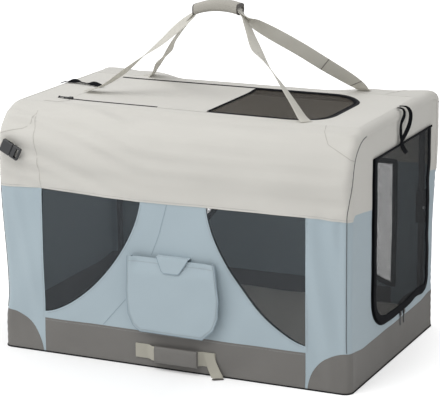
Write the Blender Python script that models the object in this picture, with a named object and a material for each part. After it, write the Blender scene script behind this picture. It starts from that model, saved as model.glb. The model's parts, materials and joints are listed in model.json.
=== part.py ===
"""Soft folding dog crate: a fabric cover on a folding frame of steel tube.

Metres, +Z up. X runs along the long side, with the end door at +X, and -Y is the front with the
two curved windows. The frame is drawn about the middle of the cover, and one empty then moves the
whole crate so that the origin is at the bottom centre of its bounding box.

The frame folds like a parallelogram: at each end a lower hoop turns on the base, an upper hoop
turns on it at two knees, and the roof rails turn on the upper hoops, so the roof comes straight down.
"""
import math

import bmesh
import bpy
from mathutils import Matrix, Vector

# Cover, the driving sizes
WIDTH = 0.910
DEPTH = 0.580
HEIGHT = 0.610
SHOULDER_RADIUS = 0.100
BAND_HEIGHT = 0.089
COLOUR_CHANGE_Z = 0.4125
COVER_THICKNESS = 0.0015
MESH_THICKNESS = 0.0008
SEAM_OVERLAP = 0.008
BAND_CORNER_RADIUS = 0.020

# Clearances
GAP = 0.0003
ZIP_GAP = 0.0006
BORE_CLEARANCE = 0.0004
SIDE_CLEARANCE = 0.006
ROOF_CLEARANCE = 0.0005
POCKET_CLEARANCE = 0.001
CUT_OVERRUN = 0.010

# Frame tube and its fittings
TUBE_RADIUS = 0.008
BASE_BEND = 0.040
FOOT_BEND = 0.040
SHOULDER_BEND = 0.085
HINGE_RISE = 0.024
FITTING_HALF = 0.011
KNEE_STACK_GAP = 0.001
KNEE_LENGTH = 0.042
KNEE_SOLID_LENGTH = 0.016
EAR_RADIUS = 0.006
EAR_WIDTH = 0.0084
EAR_RELIEF = 0.0005
PIN_RADIUS = 0.0025
PIN_HEAD_RADIUS = 0.0042
PIN_HEAD_THICKNESS = 0.0012
BUTTON_RADIUS = 0.005
BUTTON_REACH = 0.0045
BUTTON_TRAVEL = 0.004
BUTTON_SEAT = 0.0035
SLEEVE_RADIUS = 0.0105
SLEEVE_LENGTH = 0.022
SOCKET_LENGTH = 0.045
CLAMP_LENGTH = 0.024
CLAMP_INSET = 0.140
RAIL_INSET = 0.0205
FITTING_BEVEL = 0.002

# Floor
MAT_THICKNESS = 0.036
MAT_MARGIN = 0.028
MAT_CORNER = 0.050

# Front and back windows: a bell-shaped pillar of fabric is left between the two in each wall
PILLAR_CENTRE_X = 0.008
PILLAR_TOP_HALF = 0.086
WINDOW_SIDE_STRIP = 0.109
WINDOW_BOTTOM_Z = 0.105
WINDOW_CURVE_POWER = 1.5

# End door
DOOR_FRONT_STRIP = 0.147
DOOR_BACK_STRIP = 0.035
DOOR_BOTTOM_Z = 0.107
DOOR_TOP_STRIP = 0.080
DOOR_CORNER = 0.045
DOOR_LAP = 0.010
DOOR_BINDING_WIDTH = 0.014
DOOR_BINDING_THICKNESS = 0.0026

# Roof door
ROOF_DOOR_LEFT_STRIP = 0.105
ROOF_DOOR_RIGHT_STRIP = 0.124
ROOF_DOOR_SIDE_STRIP = 0.032
ROOF_DOOR_CORNER = 0.095
ROOF_DOOR_TAPER = 0.024
ROOF_MESH_LEFT_X = 0.037
ROOF_MESH_MARGIN = 0.005

# Pocket on the front pillar
POCKET_WIDTH = 0.226
POCKET_TOP_Z = 0.279
POCKET_DEPTH = 0.020
POCKET_WALL = 0.0016
POCKET_CORNER = 0.038
FLAP_WIDTH = 0.086
FLAP_TIP_WIDTH = 0.040
FLAP_DROP = 0.050
FLAP_HINGE_RISE = 0.006
FLAP_THICKNESS = 0.0018

# Carry straps and base handle, from one kind of webbing
WEBBING_WIDTH = 0.036
WEBBING_THICKNESS = 0.0022
STRAP_ROOT_SIDE_STRIP = 0.155
STRAP_ROOT_EDGE_STRIP = 0.013
STRAP_ROOT_HINGE_STRIP = 0.022
STRAP_ROOT_FRONT_LEFT_Y = -0.042
GRIP_LENGTH = 0.122
GRIP_CENTRE_Z = 0.8390
GRIP_HEIGHT = 0.026
GRIP_DEPTH = 0.046
GRIP_ARCH = 0.010
GRIP_SLACK = 0.0045
STRAP_EXIT = 0.012
STRAP_SPREAD = 0.004
BASE_GRIP_LENGTH = 0.114
BASE_GRIP_HEIGHT = 0.042
BASE_GRIP_THICKNESS = 0.0100
BASE_GRIP_STANDOFF = 0.0075
BASE_HANDLE_X = 0.011
BASE_HANDLE_Z = 0.040
BASE_HANDLE_SPAN = 0.212
TAIL_X = 0.1265
TAIL_WIDTH = 0.022
TAIL_REACH = 0.014

# Buckle
BUCKLE_SIDE_STRIP = 0.035
BUCKLE_TOP_STRIP = 0.1035
BUCKLE_TILT = math.radians(-27)
BUCKLE_WIDTH = 0.033
BUCKLE_THICKNESS = 0.0095
BUCKLE_SOCKET_LENGTH = 0.030
BUCKLE_PLUG_LENGTH = 0.024
BUCKLE_PRONG_LENGTH = 0.018
BUCKLE_PRONG_WIDTH = 0.0055
BUCKLE_WALL = 0.0022
BUCKLE_STANDOFF = 0.0030
BUCKLE_WEBBING_LENGTH = 0.028
BUCKLE_WEBBING_WIDTH = 0.025

# Zip sliders and ties
SLIDER_LENGTH = 0.011
SLIDER_WIDTH = 0.009
SLIDER_HEIGHT = 0.0045
PULL_LENGTH = 0.026
PULL_WIDTH = 0.006
PULL_THICKNESS = 0.0014
ROOF_SLIDER_INSET = 0.010
END_SLIDER_SPLIT = 0.012
END_SLIDER_Y = 0.062
TIE_WIDTH = 0.018
TIE_THICKNESS = 0.0016
ROOF_TIE_LENGTH = 0.100
ROOF_TIE_STANDOFF = 0.012
ROOF_TIE_Y = 0.040
END_TIE_Y = 0.062
END_TIE_REACH = 0.020

# Numbers of sides and steps
TUBE_BEVEL_STEPS = 4
BEND_STEPS = 7
ROUND_SIDES = 20
SHOULDER_STEPS = 8
CORNER_STEPS = 5
WINDOW_STEPS = 14
RIBBON_STEPS = 20
GRIP_STEPS = 6
MAT_CORNER_STEPS = 7

# Places that follow from the sizes above
KNEE_OFFSET = FITTING_HALF + KNEE_STACK_GAP / 2
PIN_HEAD_REACH = FITTING_HALF + PIN_HEAD_THICKNESS + GAP
HOOP_X = WIDTH / 2 - COVER_THICKNESS - SIDE_CLEARANCE - KNEE_OFFSET - EAR_RADIUS
HOOP_Y = DEPTH / 2 - COVER_THICKNESS - SIDE_CLEARANCE - PIN_HEAD_REACH
BASE_TUBE_Z = COVER_THICKNESS + GAP + TUBE_RADIUS
HINGE_Z = BASE_TUBE_Z + HINGE_RISE
TOP_BAR_Z = HEIGHT - COVER_THICKNESS - ROOF_CLEARANCE - SLEEVE_RADIUS
HALF_LEG = (TOP_BAR_Z - HINGE_Z) / 2
KNEE_Z = HINGE_Z + HALF_LEG
FLAT_HALF_DEPTH = DEPTH / 2 - SHOULDER_RADIUS
RAIL_Y = FLAT_HALF_DEPTH - RAIL_INSET
CLAMP_Y = DEPTH / 2 - CLAMP_INSET
WINDOW_OUTER_X = WIDTH / 2 - WINDOW_SIDE_STRIP
DOOR_FRONT_Y = DOOR_FRONT_STRIP - DEPTH / 2
DOOR_BACK_Y = DEPTH / 2 - DOOR_BACK_STRIP
DOOR_TOP_Z = HEIGHT - DOOR_TOP_STRIP
ROOF_DOOR_LEFT_X = ROOF_DOOR_LEFT_STRIP - WIDTH / 2
ROOF_DOOR_RIGHT_X = WIDTH / 2 - ROOF_DOOR_RIGHT_STRIP
ROOF_DOOR_HALF_DEPTH = FLAT_HALF_DEPTH - ROOF_DOOR_SIDE_STRIP
ROOF_DOOR_TAPER_LENGTH = ROOF_DOOR_RIGHT_X - ROOF_DOOR_CORNER - ROOF_DOOR_LEFT_X
STRAP_ROOT_RIGHT_X = WIDTH / 2 - STRAP_ROOT_SIDE_STRIP
STRAP_ROOT_Y = FLAT_HALF_DEPTH - STRAP_ROOT_EDGE_STRIP
STRAP_ROOT_FRONT_LEFT_X = ROOF_DOOR_LEFT_X + STRAP_ROOT_HINGE_STRIP
BUCKLE_X = BUCKLE_SIDE_STRIP - WIDTH / 2
BUCKLE_Z = HEIGHT - BUCKLE_TOP_STRIP
ROOF_TIE_RIGHT_X = ROOF_DOOR_LEFT_X - ROOF_TIE_STANDOFF
FRONT_Y = -DEPTH / 2
END_X = WIDTH / 2
WALL_BOTTOM_Z = BAND_HEIGHT + GAP
ROOF_TOP_Z = HEIGHT
BORE_RADIUS = TUBE_RADIUS + BORE_CLEARANCE
DOOR_FACE_X = END_X + GAP
DOOR_HINGE = (DOOR_FACE_X, (DOOR_FRONT_Y + DOOR_BACK_Y) / 2, DOOR_TOP_Z)
POCKET_BOTTOM_Z = WALL_BOTTOM_Z + POCKET_CLEARANCE
POCKET_FRONT_Y = FRONT_Y - GAP - POCKET_DEPTH
FLAP_HINGE = (PILLAR_CENTRE_X, FRONT_Y - GAP, POCKET_TOP_Z + FLAP_HINGE_RISE)
FRONT_REACH = GAP + POCKET_DEPTH + GAP + FLAP_THICKNESS
LEFT_REACH = ROOF_TIE_LENGTH - ROOF_TIE_RIGHT_X - END_X
RIGHT_REACH = END_TIE_REACH + GAP
SIDES = {"left": -1, "right": 1}
ENDS = {"front": -1, "back": 1}

COLOURS = {
    "beige_cloth": ((0.63, 0.61, 0.56), 0.85, 0.0),
    "blue_cloth": ((0.36, 0.45, 0.50), 0.85, 0.0),
    "grey_cloth": ((0.15, 0.14, 0.13), 0.85, 0.0),
    "dark_mesh": ((0.045, 0.050, 0.055), 0.80, 0.0),
    "black_binding": ((0.015, 0.015, 0.016), 0.70, 0.0),
    "webbing": ((0.47, 0.46, 0.40), 0.80, 0.0),
    "grip_cloth": ((0.58, 0.57, 0.52), 0.85, 0.0),
    "black_plastic": ((0.035, 0.036, 0.038), 0.45, 0.0),
    "grey_plastic": ((0.20, 0.20, 0.21), 0.50, 0.0),
    "painted_tube": ((0.42, 0.43, 0.44), 0.35, 0.4),
    "zinc": ((0.60, 0.60, 0.60), 0.30, 1.0),
    "fleece": ((0.36, 0.31, 0.26), 0.95, 0.0),
}


def clear_scene():
    """Remove whatever the start-up scene holds."""
    for item in list(bpy.data.objects):
        bpy.data.objects.remove(item, do_unlink=True)


def make_origin():
    """The empty that carries the crate, moved so the bounding box is centred on it."""
    origin = bpy.data.objects.new("crate_origin", None)
    origin.location = ((LEFT_REACH - RIGHT_REACH) / 2, FRONT_REACH / 2, 0)
    bpy.context.collection.objects.link(origin)
    return origin


def material(name, finish):
    """A Principled material for one piece."""
    colour, roughness, metallic = COLOURS[finish]
    made = bpy.data.materials.new(name)
    made.use_nodes = True
    shader = made.node_tree.nodes["Principled BSDF"]
    shader.inputs["Base Color"].default_value = (*colour, 1.0)
    shader.inputs["Roughness"].default_value = roughness
    shader.inputs["Metallic"].default_value = metallic
    made.diffuse_color = (*colour, 1.0)
    return made


def add_piece(name, solid, finish, pivot=(0, 0, 0), smooth_angle=None):
    """Turn a bmesh into a named object whose origin is at its joint's axis."""
    bmesh.ops.translate(solid, verts=solid.verts, vec=-Vector(pivot))
    mesh = bpy.data.meshes.new(name)
    solid.to_mesh(mesh)
    solid.free()
    if smooth_angle is not None:
        mesh.shade_smooth()
        mesh.set_sharp_from_angle(angle=smooth_angle)
    return link_piece(name, mesh, finish, pivot)


def link_piece(name, data, finish, pivot):
    piece = bpy.data.objects.new(name, data)
    data.materials.append(material(name, finish))
    piece.location = pivot
    piece.parent = bpy.data.objects["crate_origin"]
    bpy.context.collection.objects.link(piece)
    return piece


def box(low, high):
    """A box between two corners."""
    low, high = Vector(low), Vector(high)
    solid = bmesh.new()
    place = Matrix.Translation((low + high) / 2) @ Matrix.Diagonal((*(high - low), 1))
    bmesh.ops.create_cube(solid, size=1, matrix=place)
    return solid


def turned_outward(solid):
    """Make every face of a closed solid point outward."""
    bmesh.ops.recalc_face_normals(solid, faces=solid.faces)
    if solid.calc_volume(signed=True) < 0:
        bmesh.ops.reverse_faces(solid, faces=solid.faces)
    return solid


def bevelled(solid, width, segments=1):
    """Round every edge of a solid."""
    edges = list(solid.edges)
    bmesh.ops.bevel(solid, geom=edges, offset=width, segments=segments, affect="EDGES")
    return solid


def rod(centre, axis, radius, length, sides=ROUND_SIDES):
    """A cylinder centred on a point, along the X, Y or Z axis."""
    turns = {
        "X": Matrix.Rotation(math.pi / 2, 4, "Y"),
        "Y": Matrix.Rotation(math.pi / 2, 4, "X"),
        "Z": Matrix.Identity(4),
    }
    place = Matrix.Translation(centre) @ turns[axis]
    solid = bmesh.new()
    bmesh.ops.create_cone(
        solid, cap_ends=True, segments=sides, radius1=radius, radius2=radius, depth=length,
        matrix=place)
    return solid


def slab(outline, thickness_vector):
    """Extrude a flat outline, given as 3D points, by a vector."""
    solid = bmesh.new()
    corners = [solid.verts.new(point) for point in outline]
    face = solid.faces.new(corners)
    raised = bmesh.ops.extrude_face_region(solid, geom=[face])
    moved = [item for item in raised["geom"] if isinstance(item, bmesh.types.BMVert)]
    bmesh.ops.translate(solid, verts=moved, vec=Vector(thickness_vector))
    return turned_outward(solid)


def combine(first, second, operation):
    """Boolean of two solids, as a new bmesh."""
    holders = []
    for solid in (first, second):
        mesh = bpy.data.meshes.new("boolean_input")
        solid.to_mesh(mesh)
        solid.free()
        holder = bpy.data.objects.new("boolean_input", mesh)
        bpy.context.collection.objects.link(holder)
        holders.append(holder)
    cut = holders[0].modifiers.new("boolean", "BOOLEAN")
    cut.operation = operation
    cut.solver = "EXACT"
    cut.object = holders[1]
    result = bmesh.new()
    result.from_object(holders[0], bpy.context.evaluated_depsgraph_get())
    for holder in holders:
        mesh = holder.data
        bpy.data.objects.remove(holder, do_unlink=True)
        bpy.data.meshes.remove(mesh)
    return result


def cut(solid, *cutters):
    for cutter in cutters:
        solid = combine(solid, cutter, "DIFFERENCE")
    return solid


def fuse(solid, *others):
    for other in others:
        solid = combine(solid, other, "UNION")
    return solid


def rounded_path(corners, radius, steps, closed=False):
    """Follow straight runs through the corners, with an arc of the radius at each bend."""
    corners = [Vector(corner) for corner in corners]
    points = []
    count = len(corners)
    for index, corner in enumerate(corners):
        is_end = not closed and index in (0, count - 1)
        if is_end:
            points.append(corner)
            continue
        back = (corners[index - 1] - corner).normalized()
        ahead = (corners[(index + 1) % count] - corner).normalized()
        half_angle = back.angle(ahead) / 2
        centre = corner + (back + ahead).normalized() * radius / math.sin(half_angle)
        start = (corner + back * radius / math.tan(half_angle) - centre).normalized()
        finish = (corner + ahead * radius / math.tan(half_angle) - centre).normalized()
        for step in range(steps + 1):
            points.append(centre + start.slerp(finish, step / steps) * radius)
    return points


def tube(name, points, finish, pivot=(0, 0, 0), closed=False):
    """A round tube along a path. Open tubes are hollow, with the wall of the real steel."""
    curve = bpy.data.curves.new(name, "CURVE")
    curve.dimensions = "3D"
    curve.bevel_depth = TUBE_RADIUS
    curve.bevel_resolution = TUBE_BEVEL_STEPS
    curve.use_fill_caps = not closed
    run = curve.splines.new("POLY")
    run.points.add(len(points) - 1)
    for spot, point in zip(run.points, points):
        spot.co = (*(Vector(point) - Vector(pivot)), 1)
    run.use_cyclic_u = closed
    return link_piece(name, curve, finish, pivot)


def rounded_rectangle(low, high, radius, steps=CORNER_STEPS):
    """2D outline of a rectangle with rounded corners."""
    (left, bottom), (right, top) = low, high
    corners = [(left, bottom, 0), (right, bottom, 0), (right, top, 0), (left, top, 0)]
    return [(point.x, point.y) for point in rounded_path(corners, radius, steps, closed=True)]


def cover_profile(side, inset=0.0):
    """Points (y, z) up a long wall, over its round shoulder, to the edge of the flat roof."""
    radius = SHOULDER_RADIUS - inset
    centre_y = FLAT_HALF_DEPTH
    centre_z = HEIGHT - SHOULDER_RADIUS
    points = [(side * (centre_y + radius), WALL_BOTTOM_Z)]
    for step in range(SHOULDER_STEPS + 1):
        angle = math.pi / 2 * step / SHOULDER_STEPS
        y = centre_y + radius * math.cos(angle)
        z = centre_z + radius * math.sin(angle)
        points.append((side * y, z))
    return points


def window_outline(side, margin=0.0):
    """2D outline (x, z) of a front window. Its inner edge is one swept curve."""
    outer = WINDOW_OUTER_X + margin
    top = COLOUR_CHANGE_Z + margin
    reach_x = WINDOW_OUTER_X - PILLAR_TOP_HALF - side * PILLAR_CENTRE_X + 2 * margin
    reach_z = COLOUR_CHANGE_Z - WINDOW_BOTTOM_Z + 2 * margin
    power = 2 / WINDOW_CURVE_POWER
    points = [(side * outer, top)]
    for step in range(WINDOW_STEPS + 1):
        angle = math.pi / 2 * step / WINDOW_STEPS
        x = outer - reach_x * abs(math.cos(angle)) ** power
        z = top - reach_z * math.sin(angle) ** power
        points.append((side * x, z))
    return points


def on_wall(outline, y):
    return [(x, y, z) for x, z in outline]


def on_end(outline, x):
    return [(x, y, z) for y, z in outline]


def on_floor(outline, z):
    return [(x, y, z) for x, y in outline]


def ribbon(points, width, thickness, rest_z=0.0):
    """A flat strip along a path of (point, width direction). It is lifted where it would sink below rest_z."""
    solid = bmesh.new()
    rings = []
    for index, (point, across) in enumerate(points):
        before = points[max(index - 1, 0)][0]
        after = points[min(index + 1, len(points) - 1)][0]
        along = (after - before).normalized()
        across = (across - along * across.dot(along)).normalized()
        up = along.cross(across).normalized()
        half = across * width / 2
        rise = up * thickness / 2
        ring = [point - half - rise, point + half - rise, point + half + rise, point - half + rise]
        lift = Vector((0, 0, max(0, rest_z - min(corner.z for corner in ring))))
        rings.append([solid.verts.new(corner + lift) for corner in ring])
    for ring, following in zip(rings, rings[1:]):
        for side in range(4):
            far = (side + 1) % 4
            solid.faces.new([ring[side], ring[far], following[far], following[side]])
    solid.faces.new(rings[0])
    solid.faces.new(rings[-1])
    return turned_outward(solid)


def smooth_route(stations, steps):
    """A smooth curve through stations of (point, width direction)."""
    route = []
    count = len(stations)
    for index in range(count - 1):
        window = [stations[max(min(index + shift, count - 1), 0)] for shift in (-1, 0, 1, 2)]
        for step in range(steps):
            route.append(blend_stations(window, step / steps))
    last_point, last_across = stations[-1]
    route.append((Vector(last_point), Vector(last_across)))
    return route


def blend_stations(window, share):
    """Catmull-Rom blend of four neighbouring stations."""
    square = share * share
    cube = square * share
    weights = (
        (-cube + 2 * square - share) / 2,
        (3 * cube - 5 * square + 2) / 2,
        (-3 * cube + 4 * square + share) / 2,
        (cube - square) / 2,
    )
    point = Vector((0, 0, 0))
    for weight, (place, _) in zip(weights, window):
        point += Vector(place) * weight
    across = Vector(window[1][1]).lerp(Vector(window[2][1]), share)
    return point, across


def build_base_frame():
    """The base: a ring of tube, and two clamps at each end that hold the lower hoop above it."""
    corners = [(-HOOP_X, -HOOP_Y), (HOOP_X, -HOOP_Y), (HOOP_X, HOOP_Y), (-HOOP_X, HOOP_Y)]
    ring = rounded_path([(x, y, BASE_TUBE_Z) for x, y in corners], BASE_BEND, BEND_STEPS, True)
    tube("base_frame", ring, "painted_tube", closed=True)
    for side_name, side in SIDES.items():
        for end_name, end in ENDS.items():
            clamp = base_clamp(side * HOOP_X, end * CLAMP_Y)
            add_piece(f"base_clamp_{side_name}_{end_name}", clamp, "grey_plastic")


def base_clamp(x, y):
    """A block with one bore for the base tube and one for the lower hoop, its hinge."""
    low = (x - FITTING_HALF, y - CLAMP_LENGTH / 2, COVER_THICKNESS + GAP)
    high = (x + FITTING_HALF, y + CLAMP_LENGTH / 2, HINGE_Z + FITTING_HALF)
    block = bevelled(box(low, high), FITTING_BEVEL / 2)
    length = CLAMP_LENGTH + CUT_OVERRUN
    lower_bore = rod((x, y, BASE_TUBE_Z), "Y", BORE_RADIUS, length)
    upper_bore = rod((x, y, HINGE_Z), "Y", BORE_RADIUS, length)
    return cut(block, lower_bore, upper_bore)


def build_hoops():
    """The two half hoops at each end, which make one ring when they stand up."""
    for name, side in SIDES.items():
        x = side * HOOP_X
        leg_end = KNEE_SOLID_LENGTH + GAP
        lower = [
            (x, -HOOP_Y, KNEE_Z - leg_end), (x, -HOOP_Y, HINGE_Z),
            (x, HOOP_Y, HINGE_Z), (x, HOOP_Y, KNEE_Z - leg_end)]
        path = rounded_path(lower, FOOT_BEND, BEND_STEPS)
        tube(f"lower_hoop_{name}", path, "painted_tube", pivot=(x, 0, HINGE_Z))
        upper = [
            (x, -HOOP_Y, KNEE_Z + leg_end), (x, -HOOP_Y, TOP_BAR_Z),
            (x, HOOP_Y, TOP_BAR_Z), (x, HOOP_Y, KNEE_Z + leg_end)]
        path = rounded_path(upper, SHOULDER_BEND, BEND_STEPS)
        tube(f"upper_hoop_{name}", path, "painted_tube", pivot=knee_axis(side))


def knee_axis(side, y=0.0):
    """The knee's pin lies outside the tubes, so that the folded hoops stack on each other."""
    return (side * (HOOP_X + KNEE_OFFSET), y, KNEE_Z)


def knee_block(side, y, direction):
    """The plastic sleeve on a tube's end, with its bore. It stands up (+1) or hangs down (-1)."""
    x = side * HOOP_X
    near = KNEE_Z + direction * GAP / 2
    far = KNEE_Z + direction * KNEE_LENGTH
    low = (x - FITTING_HALF, y - FITTING_HALF, min(near, far))
    high = (x + FITTING_HALF, y + FITTING_HALF, max(near, far))
    block = bevelled(box(low, high), FITTING_BEVEL / 2)
    bore_length = KNEE_LENGTH - KNEE_SOLID_LENGTH + CUT_OVERRUN
    bore_z = KNEE_Z + direction * (KNEE_SOLID_LENGTH + bore_length / 2)
    return cut(block, rod((x, y, bore_z), "Z", BORE_RADIUS, bore_length))


def ear(side, y, width, radius):
    return rod(knee_axis(side, y), "Y", radius, width)


def build_knees():
    """Four knees: a lower block with two ears, an upper block with one, a pin and a lock button."""
    outer_width = FITTING_HALF - EAR_WIDTH / 2 - GAP
    outer_y = FITTING_HALF - outer_width / 2
    relief = EAR_RADIUS + EAR_RELIEF
    for side_name, side in SIDES.items():
        for end_name, end in ENDS.items():
            y = end * HOOP_Y
            name = f"{side_name}_{end_name}"
            lower = knee_block(side, y, -1)
            lower = cut(lower, ear(side, y, EAR_WIDTH + 2 * GAP, relief))
            upper = knee_block(side, y, 1)
            for shift in (-outer_y, outer_y):
                lower = fuse(lower, ear(side, y + shift, outer_width, EAR_RADIUS))
                upper = cut(upper, ear(side, y + shift * (1 + EAR_RELIEF), outer_width + 2 * GAP, relief))
            upper = fuse(upper, ear(side, y, EAR_WIDTH, EAR_RADIUS))
            bore = PIN_RADIUS + BORE_CLEARANCE
            lower = cut(lower, ear(side, y, 2 * FITTING_HALF + CUT_OVERRUN, bore))
            upper = cut(upper, ear(side, y, EAR_WIDTH + CUT_OVERRUN, bore))
            upper = cut(upper, lock_rod(side, y, BUTTON_RADIUS + BORE_CLEARANCE, -BUTTON_TRAVEL - GAP))
            add_piece(f"knee_lower_{name}", lower, "black_plastic", (side * HOOP_X, 0, HINGE_Z))
            add_piece(f"knee_upper_{name}", upper, "black_plastic", knee_axis(side))
            button = bevelled_end(lock_rod(side, y, BUTTON_RADIUS, 0), side)
            add_piece(f"lock_button_{name}", button, "grey_plastic", lock_place(side, y))
            add_piece(f"knee_pin_{name}", knee_pin(side, y), "zinc", knee_axis(side))


def lock_place(side, y):
    """Centre of the lock button's outer face, on the inner side of the knee."""
    return (side * (HOOP_X - FITTING_HALF), y, KNEE_Z + KNEE_SOLID_LENGTH / 2)


def lock_rod(side, y, radius, seat_shift):
    """The button, or with a seat shift the pocket it slides in, along X."""
    outer = HOOP_X - FITTING_HALF - BUTTON_REACH
    inner = HOOP_X - FITTING_HALF + BUTTON_SEAT - seat_shift
    centre = (side * (outer + inner) / 2, y, KNEE_Z + KNEE_SOLID_LENGTH / 2)
    return rod(centre, "X", radius, inner - outer, ROUND_SIDES)


def bevelled_end(solid, side):
    """Soften the rim of the button's face, the end that points into the cabin."""
    face_x = side * (HOOP_X - FITTING_HALF - BUTTON_REACH)
    rim = [edge for edge in solid.edges
           if all(abs(vert.co.x - face_x) < GAP for vert in edge.verts)]
    bmesh.ops.bevel(solid, geom=rim, offset=FITTING_BEVEL / 2, segments=1, affect="EDGES")
    return solid


def knee_pin(side, y):
    """A rivet: a shank through the three ears, with a head at each end."""
    heads = []
    for end in ENDS.values():
        head_y = y + end * (FITTING_HALF + GAP + PIN_HEAD_THICKNESS / 2)
        heads.append(ear(side, head_y, PIN_HEAD_THICKNESS, PIN_HEAD_RADIUS))
    shank_length = 2 * (FITTING_HALF + GAP) + PIN_HEAD_THICKNESS
    return fuse(ear(side, y, shank_length, PIN_RADIUS), *heads)


def build_roof_frame():
    """Two rails along the roof, in sleeves that turn on the upper hoops' top bars."""
    for side_name, side in SIDES.items():
        pivot = (side * HOOP_X, 0, TOP_BAR_Z)
        for end_name, end in ENDS.items():
            sleeve = roof_sleeve(side, end * RAIL_Y)
            add_piece(f"roof_sleeve_{side_name}_{end_name}", sleeve, "grey_plastic", pivot)
    rail_end = HOOP_X - SLEEVE_RADIUS - BORE_CLEARANCE
    for name, end in ENDS.items():
        y = end * RAIL_Y
        path = [(-rail_end, y, TOP_BAR_Z), (0, y, TOP_BAR_Z), (rail_end, y, TOP_BAR_Z)]
        tube(f"roof_rail_{name}", path, "painted_tube")


def roof_sleeve(side, y):
    """A T of two short sleeves, one round the hoop's top bar and one that holds a rail's end."""
    x = side * HOOP_X
    sleeve = rod((x, y, TOP_BAR_Z), "Y", SLEEVE_RADIUS, SLEEVE_LENGTH)
    socket_x = x - side * SOCKET_LENGTH / 2
    socket = rod((socket_x, y, TOP_BAR_Z), "X", SLEEVE_RADIUS, SOCKET_LENGTH)
    bore = rod((x, y, TOP_BAR_Z), "Y", BORE_RADIUS, SLEEVE_LENGTH + CUT_OVERRUN)
    rail_depth = SOCKET_LENGTH - SLEEVE_RADIUS + CUT_OVERRUN
    rail_x = x - side * (SLEEVE_RADIUS + rail_depth / 2)
    rail_bore = rod((rail_x, y, TOP_BAR_Z), "X", BORE_RADIUS, rail_depth)
    return cut(fuse(sleeve, socket), bore, rail_bore)


def build_floor():
    """The grey tray of the cover, and the fleece mat in it."""
    low = (-WIDTH / 2, -DEPTH / 2)
    high = (WIDTH / 2, DEPTH / 2)
    outer = on_floor(rounded_rectangle(low, high, BAND_CORNER_RADIUS), 0)
    tray = slab(outer, (0, 0, BAND_HEIGHT))
    inset = COVER_THICKNESS
    low = (-WIDTH / 2 + inset, -DEPTH / 2 + inset)
    high = (WIDTH / 2 - inset, DEPTH / 2 - inset)
    inner = on_floor(rounded_rectangle(low, high, BAND_CORNER_RADIUS - inset), inset)
    add_piece("bottom_cover", cut(tray, slab(inner, (0, 0, BAND_HEIGHT))), "grey_cloth")
    add_piece("fleece_mat", mat_cushion(), "fleece", smooth_angle=math.radians(50))


def mat_cushion():
    """A cushion: its sides draw in to the seams, and its top rises to a crown."""
    inset_and_height_shares = (
        (0.40, 0.00), (0.12, 0.12), (0.00, 0.42), (0.14, 0.74), (0.55, 0.90), (1.30, 0.97), (2.60, 1.00))
    half_x = HOOP_X - MAT_MARGIN
    half_y = HOOP_Y - MAT_MARGIN
    floor = COVER_THICKNESS + GAP
    solid = bmesh.new()
    rings = []
    for inset_share, height_share in inset_and_height_shares:
        inset = inset_share * MAT_THICKNESS
        radius = max(MAT_CORNER - inset, MAT_CORNER / 5)
        low = (-half_x + inset, -half_y + inset)
        high = (half_x - inset, half_y - inset)
        outline = rounded_rectangle(low, high, radius, MAT_CORNER_STEPS)
        z = floor + height_share * MAT_THICKNESS
        rings.append([solid.verts.new(point) for point in on_floor(outline, z)])
    for ring, following in zip(rings, rings[1:]):
        count = len(ring)
        for index in range(count):
            far = (index + 1) % count
            solid.faces.new([ring[index], ring[far], following[far], following[index]])
    solid.faces.new(rings[0])
    solid.faces.new(rings[-1])
    return turned_outward(solid)


def long_wall(side):
    """A long wall and its shoulder, as one sheet bent over the side of the roof."""
    outer = cover_profile(side)
    inner = cover_profile(side, COVER_THICKNESS)
    inner.reverse()
    length = WIDTH - 2 * (COVER_THICKNESS + GAP)
    section = on_end(outer + inner, -length / 2)
    return slab(section, (length, 0, 0))


def build_long_walls():
    """Front and back walls. Each has two windows, with a mesh panel sewn in behind each."""
    for wall_name, end in ENDS.items():
        wall = long_wall(end)
        outer_y = end * DEPTH / 2
        mesh_y = outer_y - end * (COVER_THICKNESS + GAP)
        for name, side in SIDES.items():
            outline = window_outline(side)
            wall = cut(wall, slab(on_wall(outline, outer_y - CUT_OVERRUN), (0, 2 * CUT_OVERRUN, 0)))
            lapped = on_wall(window_outline(side, SEAM_OVERLAP), mesh_y)
            panel = slab(lapped, (0, -end * MESH_THICKNESS, 0))
            add_piece(f"{wall_name}_window_{name}", panel, "dark_mesh")
        add_piece(f"{wall_name}_wall", wall, "blue_cloth", smooth_angle=math.radians(30))


def end_wall(x):
    """A flat end panel whose top corners follow the shoulders."""
    front = cover_profile(-1)
    back = cover_profile(1)
    back.reverse()
    return slab(on_end(front + back, x), (COVER_THICKNESS, 0, 0))


def door_outline(inset):
    """2D outline (y, z) of the end door: round corners at its foot, square ones at its hinge."""
    low = (DOOR_FRONT_Y + inset, DOOR_BOTTOM_Z + inset)
    high = (DOOR_BACK_Y - inset, DOOR_TOP_Z - inset)
    rounded = rounded_rectangle(low, high, DOOR_CORNER - inset)
    foot = [(y, z) for y, z in rounded if z < DOOR_BOTTOM_Z + DOOR_CORNER + GAP]
    return foot + [high, (low[0], high[1])]


def build_end_walls():
    """Both end panels. The right one has the doorway, which the door laps all round."""
    add_piece("end_wall_left", end_wall(-END_X), "blue_cloth")
    doorway = slab(on_end(door_outline(DOOR_LAP), END_X - CUT_OVERRUN), (2 * CUT_OVERRUN, 0, 0))
    right = cut(end_wall(END_X - COVER_THICKNESS), doorway)
    add_piece("end_wall_right", right, "blue_cloth")


def build_end_door():
    """The mesh door and the raised binding round it, one sewn panel that lifts from its top edge."""
    binding = slab(on_end(door_outline(0), DOOR_FACE_X), (DOOR_BINDING_THICKNESS, 0, 0))
    recess = slab(
        on_end(door_outline(DOOR_BINDING_WIDTH), DOOR_FACE_X + MESH_THICKNESS),
        (DOOR_BINDING_THICKNESS + CUT_OVERRUN, 0, 0))
    add_piece("end_door", cut(binding, recess), "dark_mesh", DOOR_HINGE)


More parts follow.
